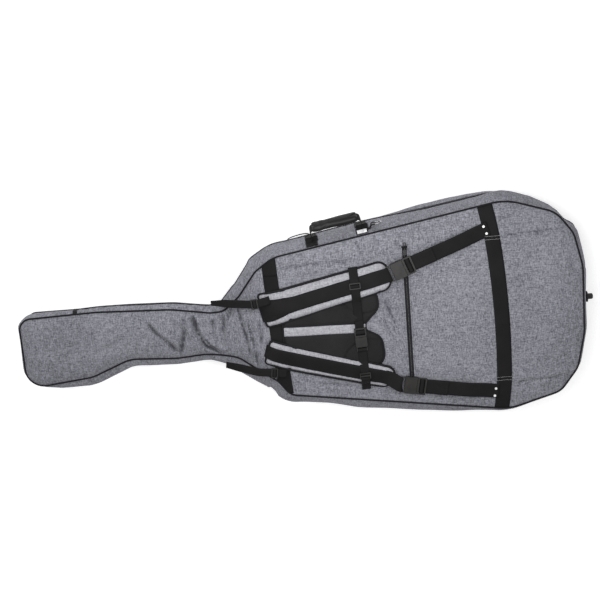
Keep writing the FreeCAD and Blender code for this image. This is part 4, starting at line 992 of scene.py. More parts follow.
def curve_through(points, step):
    """A smooth curve through a few points, resampled about a step apart."""
    points = np.asarray(points, float)
    if len(points) == 2:
        count = max(2, int(np.linalg.norm(points[1] - points[0]) / step) + 1)
        return points[0] + (points[1] - points[0]) * np.linspace(0, 1, count)[:, None]
    padded_points = np.vstack([2 * points[0] - points[1], points, 2 * points[-1] - points[-2]])
    found = []
    for k in range(1, len(padded_points) - 2):
        p0, p1, p2, p3 = padded_points[k - 1:k + 3]
        share = np.linspace(0, 1, 24, endpoint=k == len(padded_points) - 3)[:, None]
        found.append(0.5 * (2 * p1 + (p2 - p0) * share + (2 * p0 - 5 * p1 + 4 * p2 - p3) * share**2
                            + (3 * p1 - p0 - 3 * p2 + p3) * share**3))
    found = np.concatenate(found)
    lengths = distances(found)
    places = np.linspace(0, lengths[-1], max(3, int(lengths[-1] / step) + 1))
    return np.column_stack([np.interp(places, lengths, found[:, k]) for k in range(found.shape[1])])


def raised(flat, lift):
    """Puts points that have only x and y on the back's cloth, and lifts them."""
    return np.column_stack([flat, back_z(flat[:, 0], flat[:, 1]) + lift])


def on_back(points, lift, step=0.008):
    return raised(curve_through(points, step), lift)


def band(name, path, width, material=WEBBING, thick=WEB, across=None, drape=None, columns=9,
         clip=False):
    """Webbing along a path. across is the width's direction; drape(x, y) is the height below it."""
    path = np.asarray(path, float)
    tangent = frames_along(path)
    if across is None:
        side = np.column_stack([-tangent[:, 1], tangent[:, 0], 0 * tangent[:, 0]])
    else:
        side = np.tile(np.asarray(across, float), (len(path), 1))
        side = side - (side * tangent).sum(axis=1)[:, None] * tangent
    side /= np.linalg.norm(side, axis=1)[:, None]
    up = np.cross(tangent, side)
    along = distances(path)
    shares = np.linspace(-1, 1, columns)
    ring, uv = [], []
    for face in (1, -1):
        for share in shares[:: face]:
            edge = 1 - 0.45 * abs(share) ** 14
            spot = path + side * (share * np.asarray(width) / 2)[..., None]
            if clip:
                spot[:, 1] = np.clip(spot[:, 1], y_low(spot[:, 0]) + 0.0005,
                                     y_high(spot[:, 0]) - 0.0005)
            if drape is not None:
                spot[:, 2] += drape(spot[:, 0], spot[:, 1]) - drape(path[:, 0], path[:, 1])
            ring.append(spot + up * (face * thick / 2 * edge))
            uv.append(np.column_stack([along, np.full(len(path), share) * np.asarray(width) / 2]))
    sides = len(ring)
    points = np.stack(ring, axis=1).reshape(-1, 3)
    uv = np.stack(uv, axis=1).reshape(-1, 2)
    faces = grid_faces(len(path), sides, close_columns=True)
    faces.append(tuple(range(sides)))
    faces.append(tuple(range((len(path) - 1) * sides, len(path) * sides))[::-1])
    made = piece(name, points, faces, material, uv)
    recalculate(made)
    return made


def cloth_band(name, points, width, lift, **options):
    return band(name, on_back(points, lift), width, drape=back_z, clip=True, **options)


# %% [markdown]
# ## Cross bands
# Two wide bands run across the back and carry the harness. They are sewn into the corded edge at
# both ends and the lower one bows a little. Each shows a sewn lap, and the lower one two rows of
# pale stitches.

# %% Upper and lower band
UPPER_BAND = [(-0.0935, 0.234), (-0.088, 0.120), (-0.084, 0.0), (-0.078, -0.120), (-0.0700, -0.244)]
LOWER_BAND = [(0.633, 0.3560), (0.652, 0.245), (0.667, 0.096), (0.675, -0.071), (0.674, -0.242),
              (0.663, -0.3610)]
settle(cloth_band("upper_cross_band", UPPER_BAND, 0.049, 0.0014), LID, ("upper_band",))
settle(cloth_band("lower_cross_band", LOWER_BAND, 0.051, 0.0014), LID, ("lower_band",))
settle(cloth_band("upper_band_lap", [(-0.0935, 0.234), (-0.0905, 0.176)], 0.0485, 0.0030), LID)


def cross_stitch(points, y, half, lift, gap=0.0):
    """A line of stitches across a band at a place along Y."""
    path = curve_through(points, 0.004)
    middle = path[np.argmin(np.abs(path[:, 1] - y))]
    xs = np.linspace(middle[0] - half, middle[0] + half, 12)
    return raised(np.column_stack([xs, np.full(12, middle[1] + gap)]), lift)


pale_rows = [cross_stitch(LOWER_BAND, y, 0.0235, 0.0030, gap)
             for y in (0.241, -0.253) for gap in (0.0, 0.011)]
settle(grains("lower_band_pale_stitches", pale_rows, 0.0042, (0.0034, 0.0010, 0.0008),
              THREAD_WHITE), LID)
dark_rows = [cross_stitch(UPPER_BAND, y, 0.022, 0.0046) for y in (0.186, 0.181)]
settle(grains("upper_band_stitches", dark_rows, 0.0036, STITCH, THREAD_BLACK), LID)


# %% [markdown]
# ## Pillows
# A cushion or pad is a closed form: its outline is filled with a square grid, points on the border
# are drawn to the outline, and the top rises with the distance from it. Cloth simulation then
# swells it: the mesh is remeshed evenly, blown up by a light pressure with no gravity, and held to
# within a few millimetres of where it started. Where a strap is sewn on or pulled over a pad, the
# padding can't rise, so those points stay put.

# %% Closed pads
def to_outline(points, outline):
    """Each point's distance to a closed outline, the nearest place on it, and if it is inside."""
    start, stop = outline, np.roll(outline, -1, axis=0)
    run = stop - start
    best = np.full(len(points), 9.0)
    near = np.zeros((len(points), 2))
    inside = np.zeros(len(points), bool)
    for a, d, b in zip(start, run, stop):
        share = np.clip(((points - a) @ d) / (d @ d + 1e-12), 0, 1)
        spot = a + share[:, None] * d
        gap = np.linalg.norm(points - spot, axis=1)
        closer = gap < best
        best[closer], near[closer] = gap[closer], spot[closer]
        crosses = (a[1] > points[:, 1]) != (b[1] > points[:, 1])
        reach = a[0] + (points[:, 1] - a[1]) / (b[1] - a[1] + 1e-12) * (b[0] - a[0])
        inside ^= crosses & (points[:, 0] < reach)
    return best, near, inside


def pillow(name, outline, top, bottom, material, step=0.005):
    """Closed pad over an outline. top and bottom give heights from x, y and the edge's distance."""
    low, high = outline.min(axis=0) - step, outline.max(axis=0) + step
    xs, ys = np.arange(low[0], high[0], step), np.arange(low[1], high[1], step)
    grid = np.array([(x, y) for x in xs for y in ys])
    gap, near, inside = to_outline(grid, outline)
    used = inside & (gap > step * 0.25)
    cells = []
    for i in range(len(xs) - 1):
        for j in range(len(ys) - 1):
            corners = [i * len(ys) + j, (i + 1) * len(ys) + j, (i + 1) * len(ys) + j + 1,
                       i * len(ys) + j + 1]
            if sum(bool(used[c]) for c in corners) >= 3:
                cells.append(corners)
    count = {}
    for cell in cells:
        for a, b in zip(cell, cell[1:] + cell[:1]):
            count[frozenset((a, b))] = count.get(frozenset((a, b)), 0) + 1
    border = {v for edge, times in count.items() if times == 1 for v in edge}
    place = grid.copy()
    for v in border:
        place[v] = near[v]
        gap[v] = 0.0
    names = sorted({v for cell in cells for v in cell})
    number = {v: k for k, v in enumerate(names)}
    flat, depth = place[names], gap[names]
    upper = np.column_stack([flat, top(flat[:, 0], flat[:, 1], depth)])
    lower = np.column_stack([flat, bottom(flat[:, 0], flat[:, 1], depth)])
    faces = [tuple(number[v] for v in cell) for cell in cells]
    total = len(names)
    faces += [tuple(number[v] + total for v in cell)[::-1] for cell in cells]
    for cell in cells:
        for a, b in zip(cell, cell[1:] + cell[:1]):
            if count[frozenset((a, b))] == 1:
                a, b = number[a], number[b]
                faces.append((b, a, a + total, b + total))
    made = piece(name, np.concatenate([upper, lower]), faces, material)
    recalculate(made)
    return made


SWELL_FRAMES = 20


def puff(made, voxel, pressure, cap, held=None):
    """Swells a closed pad by cloth simulation. held is 1 where a strap keeps the pad down."""
    bpy.ops.object.select_all(action="DESELECT")
    bpy.context.view_layer.objects.active = made
    made.select_set(True)
    made.data.remesh_voxel_size = voxel
    bpy.ops.object.voxel_remesh()
    start = np.array([v.co[:] for v in made.data.vertices])
    cloth = made.modifiers.new("cloth", "CLOTH")
    cloth.settings.use_pressure = True
    cloth.settings.uniform_pressure_force = pressure
    cloth.settings.mass = 0.2
    cloth.settings.tension_stiffness = 12
    cloth.settings.bending_stiffness = 0.4
    cloth.settings.effector_weights.gravity = 0
    cloth.collision_settings.use_collision = False
    cloth.point_cache.frame_start, cloth.point_cache.frame_end = 1, SWELL_FRAMES
    for step in range(1, SWELL_FRAMES + 1):
        bpy.context.scene.frame_set(step)
    result = made.evaluated_get(bpy.context.evaluated_depsgraph_get()).to_mesh()
    end = np.array([v.co[:] for v in result.vertices])
    made.modifiers.remove(cloth)
    bpy.context.scene.frame_set(1)
    move = end - start
    size = np.linalg.norm(move, axis=1)
    move *= np.minimum(1.0, cap / np.maximum(size, 1e-9))[:, None]
    if held is not None:
        move *= (1 - held(start[:, 0], start[:, 1]))[:, None]
    made.data.vertices.foreach_set("co", (start + move).ravel())
    made.data.polygons.foreach_set("use_smooth", [True] * len(made.data.polygons))
    made.data.update()
    print(made.name, "swelled by up to", round(float(size.max()), 4), "points", len(start))
    return made


# %% [markdown]
# ## Back cushion
# The cushion sits between the wearer's back and the bag. It is black, with two lobes that end in an
# arc, a channel down the middle covered by a grey strip, and an arched seam in each lobe.

# %% Cushion with two lobes
PAD_VOXEL = 0.004       # even size of a simulated pad's faces
CUSHION = rounded([
    (-0.064, 0.048, 0.006), (0.100, 0.100, 0.08), (0.258, 0.110, 0.040), (0.262, 0.040, 0.042),
    (0.214, -0.010, 0.012),
    (0.214, -0.034, 0.012), (0.266, -0.062, 0.045), (0.276, -0.165, 0.050), (0.200, -0.172, 0.05),
    (-0.064, -0.094, 0.006),
], 0.006)
SEAM_ARCS = [((0.215, 0.110), 0.085), ((0.225, -0.165), 0.098)]


def channels(x, y):
    """Sewn grooves in the cushion: the middle channel and an arc in each lobe."""
    middle = np.exp(-((y + 0.0205 + 0.04 * (x - 0.07)) / 0.017) ** 4)
    total = 0.006 * middle
    for (cx, cy), radius in SEAM_ARCS:
        total = total + 0.0050 * np.exp(-((np.hypot(x - cx, y - cy) - radius) / 0.0042) ** 2)
    return total


def cushion_top(x, y, gap):
    rise = 0.0045 + 0.0095 * np.sqrt(1 - (1 - np.clip(gap / 0.028, 0, 1)) ** 2)
    height = back_z(x, y) + rise - channels(x, y) * smooth(gap, 0.0, 0.012)
    return height + swell(x, y, 0.08, 11) * 0.0006


CHEST_X = 0.2285        # where the chest strap crosses


def under_chest_strap(x):
    return 1 - smooth(np.abs(x - CHEST_X), 0.026, 0.040)


def under_strip(x, y):
    """1 under the grey strip and the chest strap, which lie on the cushion, and 0 beside them."""
    strip = 1 - smooth(np.abs(y + 0.0205 + 0.03 * (x - 0.075)), 0.020, 0.028)
    return np.maximum(strip, under_chest_strap(x))


cushion = pillow("back_cushion_pad", CUSHION, cushion_top, lambda x, y, gap: back_z(x, y) + 0.0012,
                 PADDED_BLACK, 0.004)
puff(cushion, PAD_VOXEL, 3.0, 0.0025, under_strip)
settle(cushion, LID, ("back_cushion",))
settle(tube("back_cushion_binding", raised(CUSHION, 0.0042), 0.0034, CORDED_BLACK, closed=True,
            flat=0.8), LID)


def cushion_height(x, y):
    gap, _, inside = to_outline(np.column_stack([np.atleast_1d(x), np.atleast_1d(y)]), CUSHION)
    depth = np.where(inside, gap, 0.0)
    return cushion_top(np.atleast_1d(x), np.atleast_1d(y), depth)


strip_path = curve_through([(-0.060, -0.016), (0.075, -0.0205), (0.213, -0.0255)], 0.008)
heights = cushion_height(strip_path[:, 0], strip_path[:, 1]) + 0.0028
strip_path = np.column_stack([strip_path, heights])
strip = band("back_cushion_grey_strip", strip_path, 0.030, material=LIGHT_GREY, thick=0.004)
settle(strip, LID, ("cushion_strip",))


# %% [markdown]
# ## Shoulder pads
# Each pad is light grey cloth with a black bound edge and wide webbing down its middle. It starts
# on the upper band, lies over the cushion, and ends in a rounded tip just before its buckle.

# %% Two pads
PAD_MEAN = 0.258        # usual height of a pad's top


class Pad:
    """A tapering pad between two ends. side is +1 when its outer edge faces +Y."""

    def __init__(self, letter, start, end, wide, narrow, side):
        self.letter, self.side = letter, side
        self.start, self.end = np.array(start), np.array(end)
        self.length = float(np.linalg.norm(self.end - self.start))
        self.ahead = (self.end - self.start) / self.length
        self.left = np.array([-self.ahead[1], self.ahead[0]])
        self.wide, self.narrow = wide, narrow
        corners = [(0, wide / 2, 0.006), (self.length, narrow / 2, 0.032),
                   (self.length, -narrow / 2, 0.032),
                   (0, -wide / 2, 0.006)]
        self.outline = rounded([(*self.at(s, t), r) for s, t, r in corners[::-1]], 0.005)

    def at(self, s, t):
        return self.start + self.ahead * s + self.left * t

    def local(self, x, y):
        dx, dy = x - self.start[0], y - self.start[1]
        return dx * self.ahead[0] + dy * self.ahead[1], dx * self.left[0] + dy * self.left[1]

    def half(self, s):
        return (self.wide + (self.narrow - self.wide) * np.clip(s / self.length, 0, 1)) / 2

    def bottom(self, x, y, gap=None):
        """Rests on the cushion on its inner side, and on the back's cloth on its outer side."""
        s, t = self.local(x, y)
        outer = self.side * t / self.half(s)
        lift = 0.0115 - 0.0075 * smooth(outer, -0.4, 1.0)
        lift = lift - 0.006 * smooth(s, self.length - 0.07, self.length)
        lift = lift - 0.007 * (1 - smooth(s, 0.0, 0.06))
        return back_z(x, y) + lift

    def top(self, x, y, gap):
        s, t = self.local(x, y)
        body = 0.0045 + 0.0085 * np.sqrt(1 - (1 - np.clip(gap / 0.020, 0, 1)) ** 2)
        seam = 0.0022 * np.exp(-((np.abs(t) - 0.0275) / 0.0030) ** 2) * smooth(gap, 0.0, 0.008)
        tucks = 0.0
        for place, slant in ((0.085, 0.02), (0.078, -0.012)):
            beside_webbing = smooth(np.abs(t), 0.024, 0.03)
            tuck = 0.0035 * np.exp(-((s - place - t * slant) / 0.0045) ** 2)
            tucks = tucks + tuck * beside_webbing
        return self.bottom(x, y) + body - seam - tucks + swell(x, y, 0.05, 17) * 0.0006

    def strapped(self, x, y):
        """1 under the webbing and the chest strap, which keep the pad down, and 0 beside them."""
        s, t = self.local(x, y)
        flare = 0.013 * (1 - smooth(s, 0.0, 0.12)) if self.side > 0 else 0.0
        webbing = 1 - smooth(np.abs(t) - flare, 0.027, 0.034)
        return np.maximum(webbing, under_chest_strap(x))

    def surface(self, x, y):
        s, t = self.local(x, y)
        gap = np.clip(np.minimum(self.half(s) - np.abs(t), self.length - s + 0.01), 0.0, 0.05)
        return self.top(x, y, gap)

    def drape(self, x, y):
        s, _ = self.local(x, y)
        tip = smooth(s, self.length - 0.045, self.length - 0.005)
        return (self.surface(x, y) - PAD_MEAN) * (1 - tip)

    def middle_top(self, s, t=0.0):
        spot = self.at(s, t)
        return float(self.surface(spot[0], spot[1]))


PADS = [Pad("a", (-0.1245, 0.0595), (0.302, 0.1545), 0.110, 0.092, 1),
        Pad("b", (-0.119, -0.086), (0.296, -0.2115), 0.086, 0.074, -1)]
for pad in PADS:
    name = "shoulder_pad_cloth_" + pad.letter
    made = pillow(name, pad.outline, pad.top, pad.bottom, LIGHT_GREY, 0.004)
    puff(made, PAD_VOXEL, 2.5, 0.002, pad.strapped)
    settle(made, LID, ("shoulder_pad_" + pad.letter,))
    heights = pad.bottom(pad.outline[:, 0], pad.outline[:, 1]) + 0.0026
    edge = np.column_stack([pad.outline, heights])
    binding = tube("shoulder_pad_binding_" + pad.letter, edge, 0.0056, CORDED_BLACK,
                   closed=True, flat=0.62)
    settle(binding, LID)


# %% [markdown]
# ## Harness webbing
# Wide webbing is sewn down the middle of each pad and loops round the bar of its buckle. Beyond the
# buckle the lower strap runs to the lower band, where rivets hold it, and its free tail lies on top
# of it.

# %% Straps of the harness
def buckle_axis(letter):
    joint = JOINTS["strap_buckle_%s_release" % letter]
    low, high = (np.array(corner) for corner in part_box("strap_buckle_female_" + letter))
    return np.array(joint["axis"]), (low + high) / 2


STRAP_WIDTH = 0.050
BAR_AWAY = 0.0285       # from the middle of a buckle's housing to the webbing's bar
ANCHORS = {"a": (0.642, 0.2795), "b": (0.654, -0.2925)}
for pad in PADS:
    axis, housing = buckle_axis(pad.letter)
    bar = housing - axis * BAR_AWAY
    start = pad.at(-0.010, 0.0)
    spots = [(*start, back_z(*start) + 0.0030),
             (*pad.at(0.012, 0.0), pad.middle_top(0.012) + 0.0012)]
    stations = np.linspace(0.04, pad.length - 0.018, 8)
    spots += [(*pad.at(s, 0.0), pad.middle_top(s) + 0.0014) for s in stations]
    spots += [(bar[0], bar[1], housing[2] + 0.0042),
              tuple(bar + axis * 0.0052 + np.array([0, 0, 0.001]))]
    path = curve_through(spots, 0.006)
    along = pad.local(path[:, 0], path[:, 1])[0]
    flare = 0.026 * (1 - smooth(along, 0.0, 0.12)) if pad.letter == "a" else 0.0
    strap = band("shoulder_webbing_%s_strap" % pad.letter, path, STRAP_WIDTH + flare,
                 drape=pad.drape, columns=13)
    settle(strap, LID, ("shoulder_webbing_" + pad.letter,))
    stations = np.linspace(0.02, pad.length - 0.02, 40)
    edges = [[(*pad.at(s, t), pad.middle_top(s, t) + 0.0030) for s in stations]
             for t in (-0.0225, 0.0225)]
    stitches = grains("shoulder_webbing_%s_stitches" % pad.letter, edges, 0.0040,
                      (0.0032, 0.0009, 0.0007), THREAD_BLACK)
    settle(stitches, LID)
    anchor = np.array(ANCHORS[pad.letter])
    strand_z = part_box("strap_strand_" + pad.letter)[1][2] - 0.001
    origin = (housing + axis * BAR_AWAY)[:2]
    flat = anchor - origin
    reach = float(np.linalg.norm(flat))
    spots = [(*(origin + flat * s / reach), strand_z) for s in (0.004, 0.06, 0.12, 0.18)]
    for share, lift in ((0.82, 0.0060), (0.93, 0.0038)):
        spots.append((*(origin + flat * share), back_z(*(origin + flat * share)) + lift))
    spots.append((*anchor, back_z(*anchor) + 0.0038))
    lower = band("lower_strap_" + pad.letter, curve_through(spots, 0.006), STRAP_WIDTH)
    settle(lower, LID, ("strap_strand_" + pad.letter,))


# %% [markdown]
# ## Free tails, chest strap and load lifters
# The lower strap comes up through the buckle's adjuster, turns round its bar and hangs free. The
# chest strap crosses the harness, and two lifters hold the pads to the neck. Where a strap passes a
# slotted frame it weaves over the frame's middle bar. Each strap is one band along a few points, so
# its weave follows it.

# %% Weaving through a frame
def straight(origin, ahead):
    """A place a distance along a line seen from above, at a height."""
    def place(s, z):
        return (origin[0] + ahead[0] * s, origin[1] + ahead[1] * s, z)
    return place


def weave(place, middle, low, slope=0.0):
    """Points under a frame, over its middle bar and under it again. low is the lowest height."""
    steps = [(-0.0125, 0.0), (-0.0072, 0.0004), (-0.0054, 0.0020), (-0.0044, 0.0044),
             (-0.0020, 0.0056),
             (0.0020, 0.0056), (0.0044, 0.0044), (0.0054, 0.0020), (0.0072, 0.0004), (0.0125, 0.0)]
    return [place(middle + ds, low + dz + slope * ds) for ds, dz in steps]


# %% Tails of the lower straps
MOUTHS = {"a": (0.355, 0.175), "b": (0.373, -0.242)}
ROUND_THE_BAR = [       # distance along, height
    (0.0106, 0.0055), (0.0108, 0.0086), (0.0128, 0.0104), (0.0166, 0.0107), (0.0206, 0.0104),
    (0.0226, 0.0086), (0.0230, 0.0058), (0.0252, 0.0038),
]


def free_end(name, place, base, first, free, step, width):
    """A tail: up through the buckle's adjuster, round its bar, then free along the strap below."""
    steps = [(0.0108, first), *ROUND_THE_BAR, *free]
    return band(name, curve_through([place(s, base + z) for s, z in steps], step), width)


for pad in PADS:
    axis, _ = buckle_axis(pad.letter)
    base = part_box("strap_strand_" + pad.letter)[1][2] - 0.002
    along = straight(MOUTHS[pad.letter], axis)
    free = [(0.032, 0.0033), (0.060, 0.0034), (0.085, 0.0050), (0.108, 0.0038)]
    name, buckle = "lower_strap_%s_tail" % pad.letter, "strap_buckle_" + pad.letter
    tail = free_end(name, along, base, 0.0028, free, 0.0018, STRAP_WIDTH)
    settle(tail, buckle, ("strap_tail_" + pad.letter,))
    hem, across = np.array(along(0.1025, 0)[:2]), np.array([-axis[1], axis[0]])
    line = [(*(hem + across * t), base + 0.0052) for t in np.linspace(-0.021, 0.021, 12)]
    settle(grains(name + "_hem", [line], 0.0036, STITCH, THREAD_BLACK), buckle)

# %% Chest strap
CHEST_WIDTH = 0.030
CHEST_JOINT = JOINTS["chest_buckle_release"]
CHEST_AHEAD = np.array(CHEST_JOINT["axis"][:2])
CHEST_MOUTH = np.array([0.194693, -0.052])
CHEST_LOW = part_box("chest_buckle_female")[0][2] + 0.0010
chest = straight(CHEST_MOUTH, CHEST_AHEAD)
GLIDE_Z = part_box("chest_tri_glides")[0][2] - 0.0011


def pad_top_at(pad, s):
    x, y, _ = chest(s, 0.0)
    return float(pad.surface(np.array(x), np.array(y))) + 0.0012


def chest_side(pad, first, near, glide, far):
    """From the buckle, up on a pad, through its frame, and down round the pad's outer edge."""
    sign = 1 if far > 0 else -1
    spots = list(first)
    spots += [chest(near - sign * 0.020, CHEST_LOW + 0.003),
              chest(near - sign * 0.006, pad_top_at(pad, near) - 0.001),
              chest(near + sign * 0.008, pad_top_at(pad, near + sign * 0.008) + 0.0014)]
    spots += weave(chest, glide, GLIDE_Z)[::sign]
    spots += [chest(far - sign * 0.018, pad_top_at(pad, far - sign * 0.018) + 0.0008),
              chest(far - sign * 0.004, pad_top_at(pad, far - sign * 0.004) + 0.0006)]
    edge = chest(far + sign * 0.005, 0.0)
    low = float(back_z(np.array(edge[0]), np.array(edge[1])))
    spots += [chest(far + sign * 0.004, (low + spots[-1][2]) / 2 + 0.002),
              chest(far + sign * 0.0065, low + 0.004)]
    return curve_through(spots, 0.0016)


up_a = chest_side(PADS[0], [chest(0.006, CHEST_LOW), chest(0.040, CHEST_LOW),
                            chest(0.080, CHEST_LOW)],
                  0.136, 0.1796, 0.232)
settle(band("chest_strap_upper", up_a, CHEST_WIDTH), LID, ("chest_strap_a",))
BAR_Z = CHEST_LOW + 0.005
loop_b = [chest(-0.0440, BAR_Z - 0.0036), chest(-0.0420, BAR_Z - 0.0042),
          chest(-0.0400, BAR_Z - 0.0012),
          chest(-0.0402, BAR_Z + 0.0022), chest(-0.0426, BAR_Z + 0.0040),
          chest(-0.0466, BAR_Z + 0.0042),
          chest(-0.0500, BAR_Z + 0.0022), chest(-0.0540, BAR_Z - 0.0015)]
up_b = chest_side(PADS[1], loop_b, -0.108, -0.1462, -0.188)
settle(band("chest_strap_lower", up_b, CHEST_WIDTH), LID, ("chest_strap_b",))
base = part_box("chest_buckle_male")[0][2] - 0.0024
free = [(0.032, 0.0034), (0.045, 0.0040), (0.055, 0.0038)]
tail = free_end("chest_strap_tail_end", chest, base, 0.0032, free, 0.0016, CHEST_WIDTH)
settle(tail, "chest_buckle_male", ("chest_strap_tail",))

# %% Load lifters
LIFTER_WIDTH = 0.028


def lifter(name, first, lock, then, node, taper):
    """A lifter from its pad, through its lock, and down to the neck. Points are x, y, height."""
    first, lock, then = np.array(first), np.array(lock), np.array(then)
    ahead = then[0] - first[-1]
    reach = float(np.linalg.norm(ahead[:2]))
    place = straight(lock[:2], ahead[:2] / reach)
    middle = weave(place, 0.0, lock[2], ahead[2] / reach * 0.5)
    path = curve_through([*map(tuple, first), *middle, *map(tuple, then)], 0.0018)
    share = smooth(np.linspace(0, 1, len(path)), 0.72, 1.0)
    made = band(name, path, LIFTER_WIDTH * (1 - taper * share))
    return settle(made, LID, (node,))


lifter("load_lifter_upper", [(-0.098, 0.1035, 0.2555), (-0.108, 0.1015, 0.2612),
                             (-0.130, 0.0972, 0.2632)],
       (-0.1498, 0.0953, 0.2633), [(-0.176, 0.0930, 0.2520), (-0.226, 0.0880, 0.2140),
                                   (-0.262, 0.0860, 0.1900),
                                  (-0.299, 0.0840, 0.1700)], "lifter_strap_a", 0.35)
lifter("load_lifter_lower", [(-0.0640, -0.1622, 0.2462), (-0.080, -0.1600, 0.2462)],
       (-0.1038, -0.1570, 0.2447), [(-0.125, -0.1545, 0.2437), (-0.160, -0.1500, 0.2424),
                                    (-0.215, -0.1430, 0.2098),
                                   (-0.268, -0.1360, 0.1785)], "lifter_strap_b", 0.2)


# %% [markdown]
# ## Pocket zipper
# A flat pocket behind the lining opens with a zipper across the back. Two narrow tapes lie between
# two raised edges of cloth, and the row of coil shows as a pale line between them.

# %% Pocket zipper
POCKET = [(POCKET_X, 0.238), (POCKET_X, 0.100), (POCKET_X, -0.100), (POCKET_X, -0.235)]


def beside(points, gap, lift, step=0.006):
    """A line on the back's cloth at a distance to the left of another."""
    flat = curve_through(points, step)
    tangent = frames_along(np.column_stack([flat, 0 * flat[:, 0]]))
    return raised(flat + np.column_stack([-tangent[:, 1], tangent[:, 0]]) * gap, lift)


for name, gap in (("left", 0.0049), ("right", -0.0049)):
    tape = band("pocket_zip_tape_" + name, beside(POCKET, gap, 0.0012), 0.0072, ZIP_TAPE, 0.0012)
    settle(tape, LID, ("pocket_zipper",) if name == "left" else ())
    welt = tube("pocket_zip_welt_" + name, beside(POCKET, gap * 2.1, 0.0006), 0.0026, GREY,
                flat=0.8)
    settle(welt, LID)
teeth = beside(POCKET, 0.0, 0.0016, 0.003)
settle(grains("pocket_zip_coil", [teeth], 0.0020, (0.0014, 0.0032, 0.0014), COIL), LID)
for name, y in (("top", 0.2395), ("foot", -0.2365)):
    spot = [(POCKET_X - 0.010, y), (POCKET_X + 0.010, y)]
    settle(band("pocket_zip_stop_" + name, beside(spot, 0.0, 0.0022), 0.007, PLAIN_WEB, 0.0014),
           LID)


# %% [markdown]
# ## Handle, loops and tabs on the wall
# The carrying handle is a loop of webbing with a padded vinyl wrap, sewn to two patches on the
# wall. Smaller loops stand on the front half, and short tabs hold the ring and cover the zipper's
# end. All of them start on the wall's cloth, so one helper finds that surface.

# %% Places on the wall
def on_wall(x, z, side, out=0.0):
    """A point on one side (+1 or -1) of the wall at x and a height, standing out from its cloth."""
    picks = np.where(RIM_NORMAL[:, 1] * side > 0.25)[0]
    picks = picks[np.argsort(RIM[picks, 0])]
    spot = np.array([np.interp(x, RIM[picks, 0], RIM[picks, k]) for k in range(2)])
    normal = np.array([np.interp(x, RIM[picks, 0], RIM_NORMAL[picks, k]) for k in range(2)])
    offset = float(wall_offset(np.array(z), edge_z(np.array(x)), normal[1], x)) + out
    return np.array([*(spot + normal * offset), z])


# %% Handle
PIVOT = np.array(JOINTS["side_handle_swing"]["pos_m"])
ALONG = np.array(JOINTS["side_handle_swing"]["axis"])
OUT = np.cross(np.array([0.0, 0.0, 1.0]), ALONG)
LEAN = math.radians(30.0)
REACH_WAY = OUT * math.cos(LEAN) + np.array([0.0, 0.0, 1.0]) * math.sin(LEAN)
WIDE_WAY = np.cross(ALONG, REACH_WAY)
HANDLE_HALF = 0.086     # from the handle's middle to the middle of a foot
SLEEVE = 0.0445         # from the pivot out to the middle of the padded wrap


def at_handle(w, d, t=0.0):
    return PIVOT + ALONG * w + REACH_WAY * d + WIDE_WAY * t


loop = [(-0.0862, -0.0020), (-0.0866, 0.010), (-0.0864, 0.024), (-0.0846, 0.0345),
        (-0.0790, 0.0415), (-0.068, 0.0442),
        (-0.030, 0.0446)]
loop = loop + [(0.030, 0.0446)] + [(-w, d) for w, d in loop[:-1][::-1]]
webbing = band("side_handle_loop", curve_through([tuple(at_handle(w, d)) for w, d in loop], 0.003),
               0.034,
               across=WIDE_WAY)
settle(webbing, "side_handle", ("handle_webbing",))


def wrap_points(rows, sides):
    """Rows of a soft oval sleeve. The outer flap ends in a step along its length."""
    found = []
    for w in np.linspace(-0.076, 0.076, rows):
        end = min(1.0, (0.0765 - abs(w)) / 0.010)
        swell_here = 1 + 0.05 * math.sin(w * 70) + 0.05 * smooth(w, 0.030, 0.060)
        swell_here = swell_here - 0.04 * smooth(-w, 0.03, 0.07)
        for k in range(sides):
            angle = 2 * math.pi * k / sides
            c, n = math.cos(angle), math.sin(angle)
            d = 0.0120 * math.copysign(abs(c) ** 0.75, c) * (0.70 + 0.30 * math.sqrt(end))
            t = 0.0192 * math.copysign(abs(n) ** 0.75,
                                       n) * (0.80 + 0.20 * math.sqrt(end)) * swell_here
            step = 0.0014 if 0.2 < angle < 2.0 else 0.0
            lump = 0.0008 * math.sin(w * 210 + angle * 3) * smooth(-w, 0.0, 0.05)
            found.append(at_handle(w, SLEEVE + d + (step + lump) * math.copysign(1, c),
                                   t + step * 0.6))
    return found


ROWS, SIDES = 78, 40
points = wrap_points(ROWS, SIDES)
faces = grid_faces(ROWS, SIDES, close_columns=True)
faces += [tuple(range(SIDES))[::-1], tuple(range((ROWS - 1) * SIDES, ROWS * SIDES))]
wrap = piece("side_handle_wrap", points, faces, VINYL)
recalculate(wrap)
puff(wrap, 0.003, 2.0, 0.0025)
settle(wrap, "side_handle", ("handle_wrap",))
flap = ((-0.072, 0.0035), (0.0, 0.0045), (0.052, 0.0030), (0.0735, -0.0060))
flap = [tuple(at_handle(w, SLEEVE + 0.0132, t)) for w, t in flap]
seam = tube("side_handle_wrap_edge", curve_through(flap, 0.003), 0.0016, VINYL, flat=0.7)
settle(seam, "side_handle")
places = zip(np.linspace(-0.070, 0.050, 40), np.linspace(0.0035, 0.003, 40))
line = [tuple(at_handle(w, SLEEVE + 0.0136, t - 0.005)) for w, t in places]
settle(grains("side_handle_stitches", [line], 0.0040, STITCH, THREAD_BLACK), "side_handle")

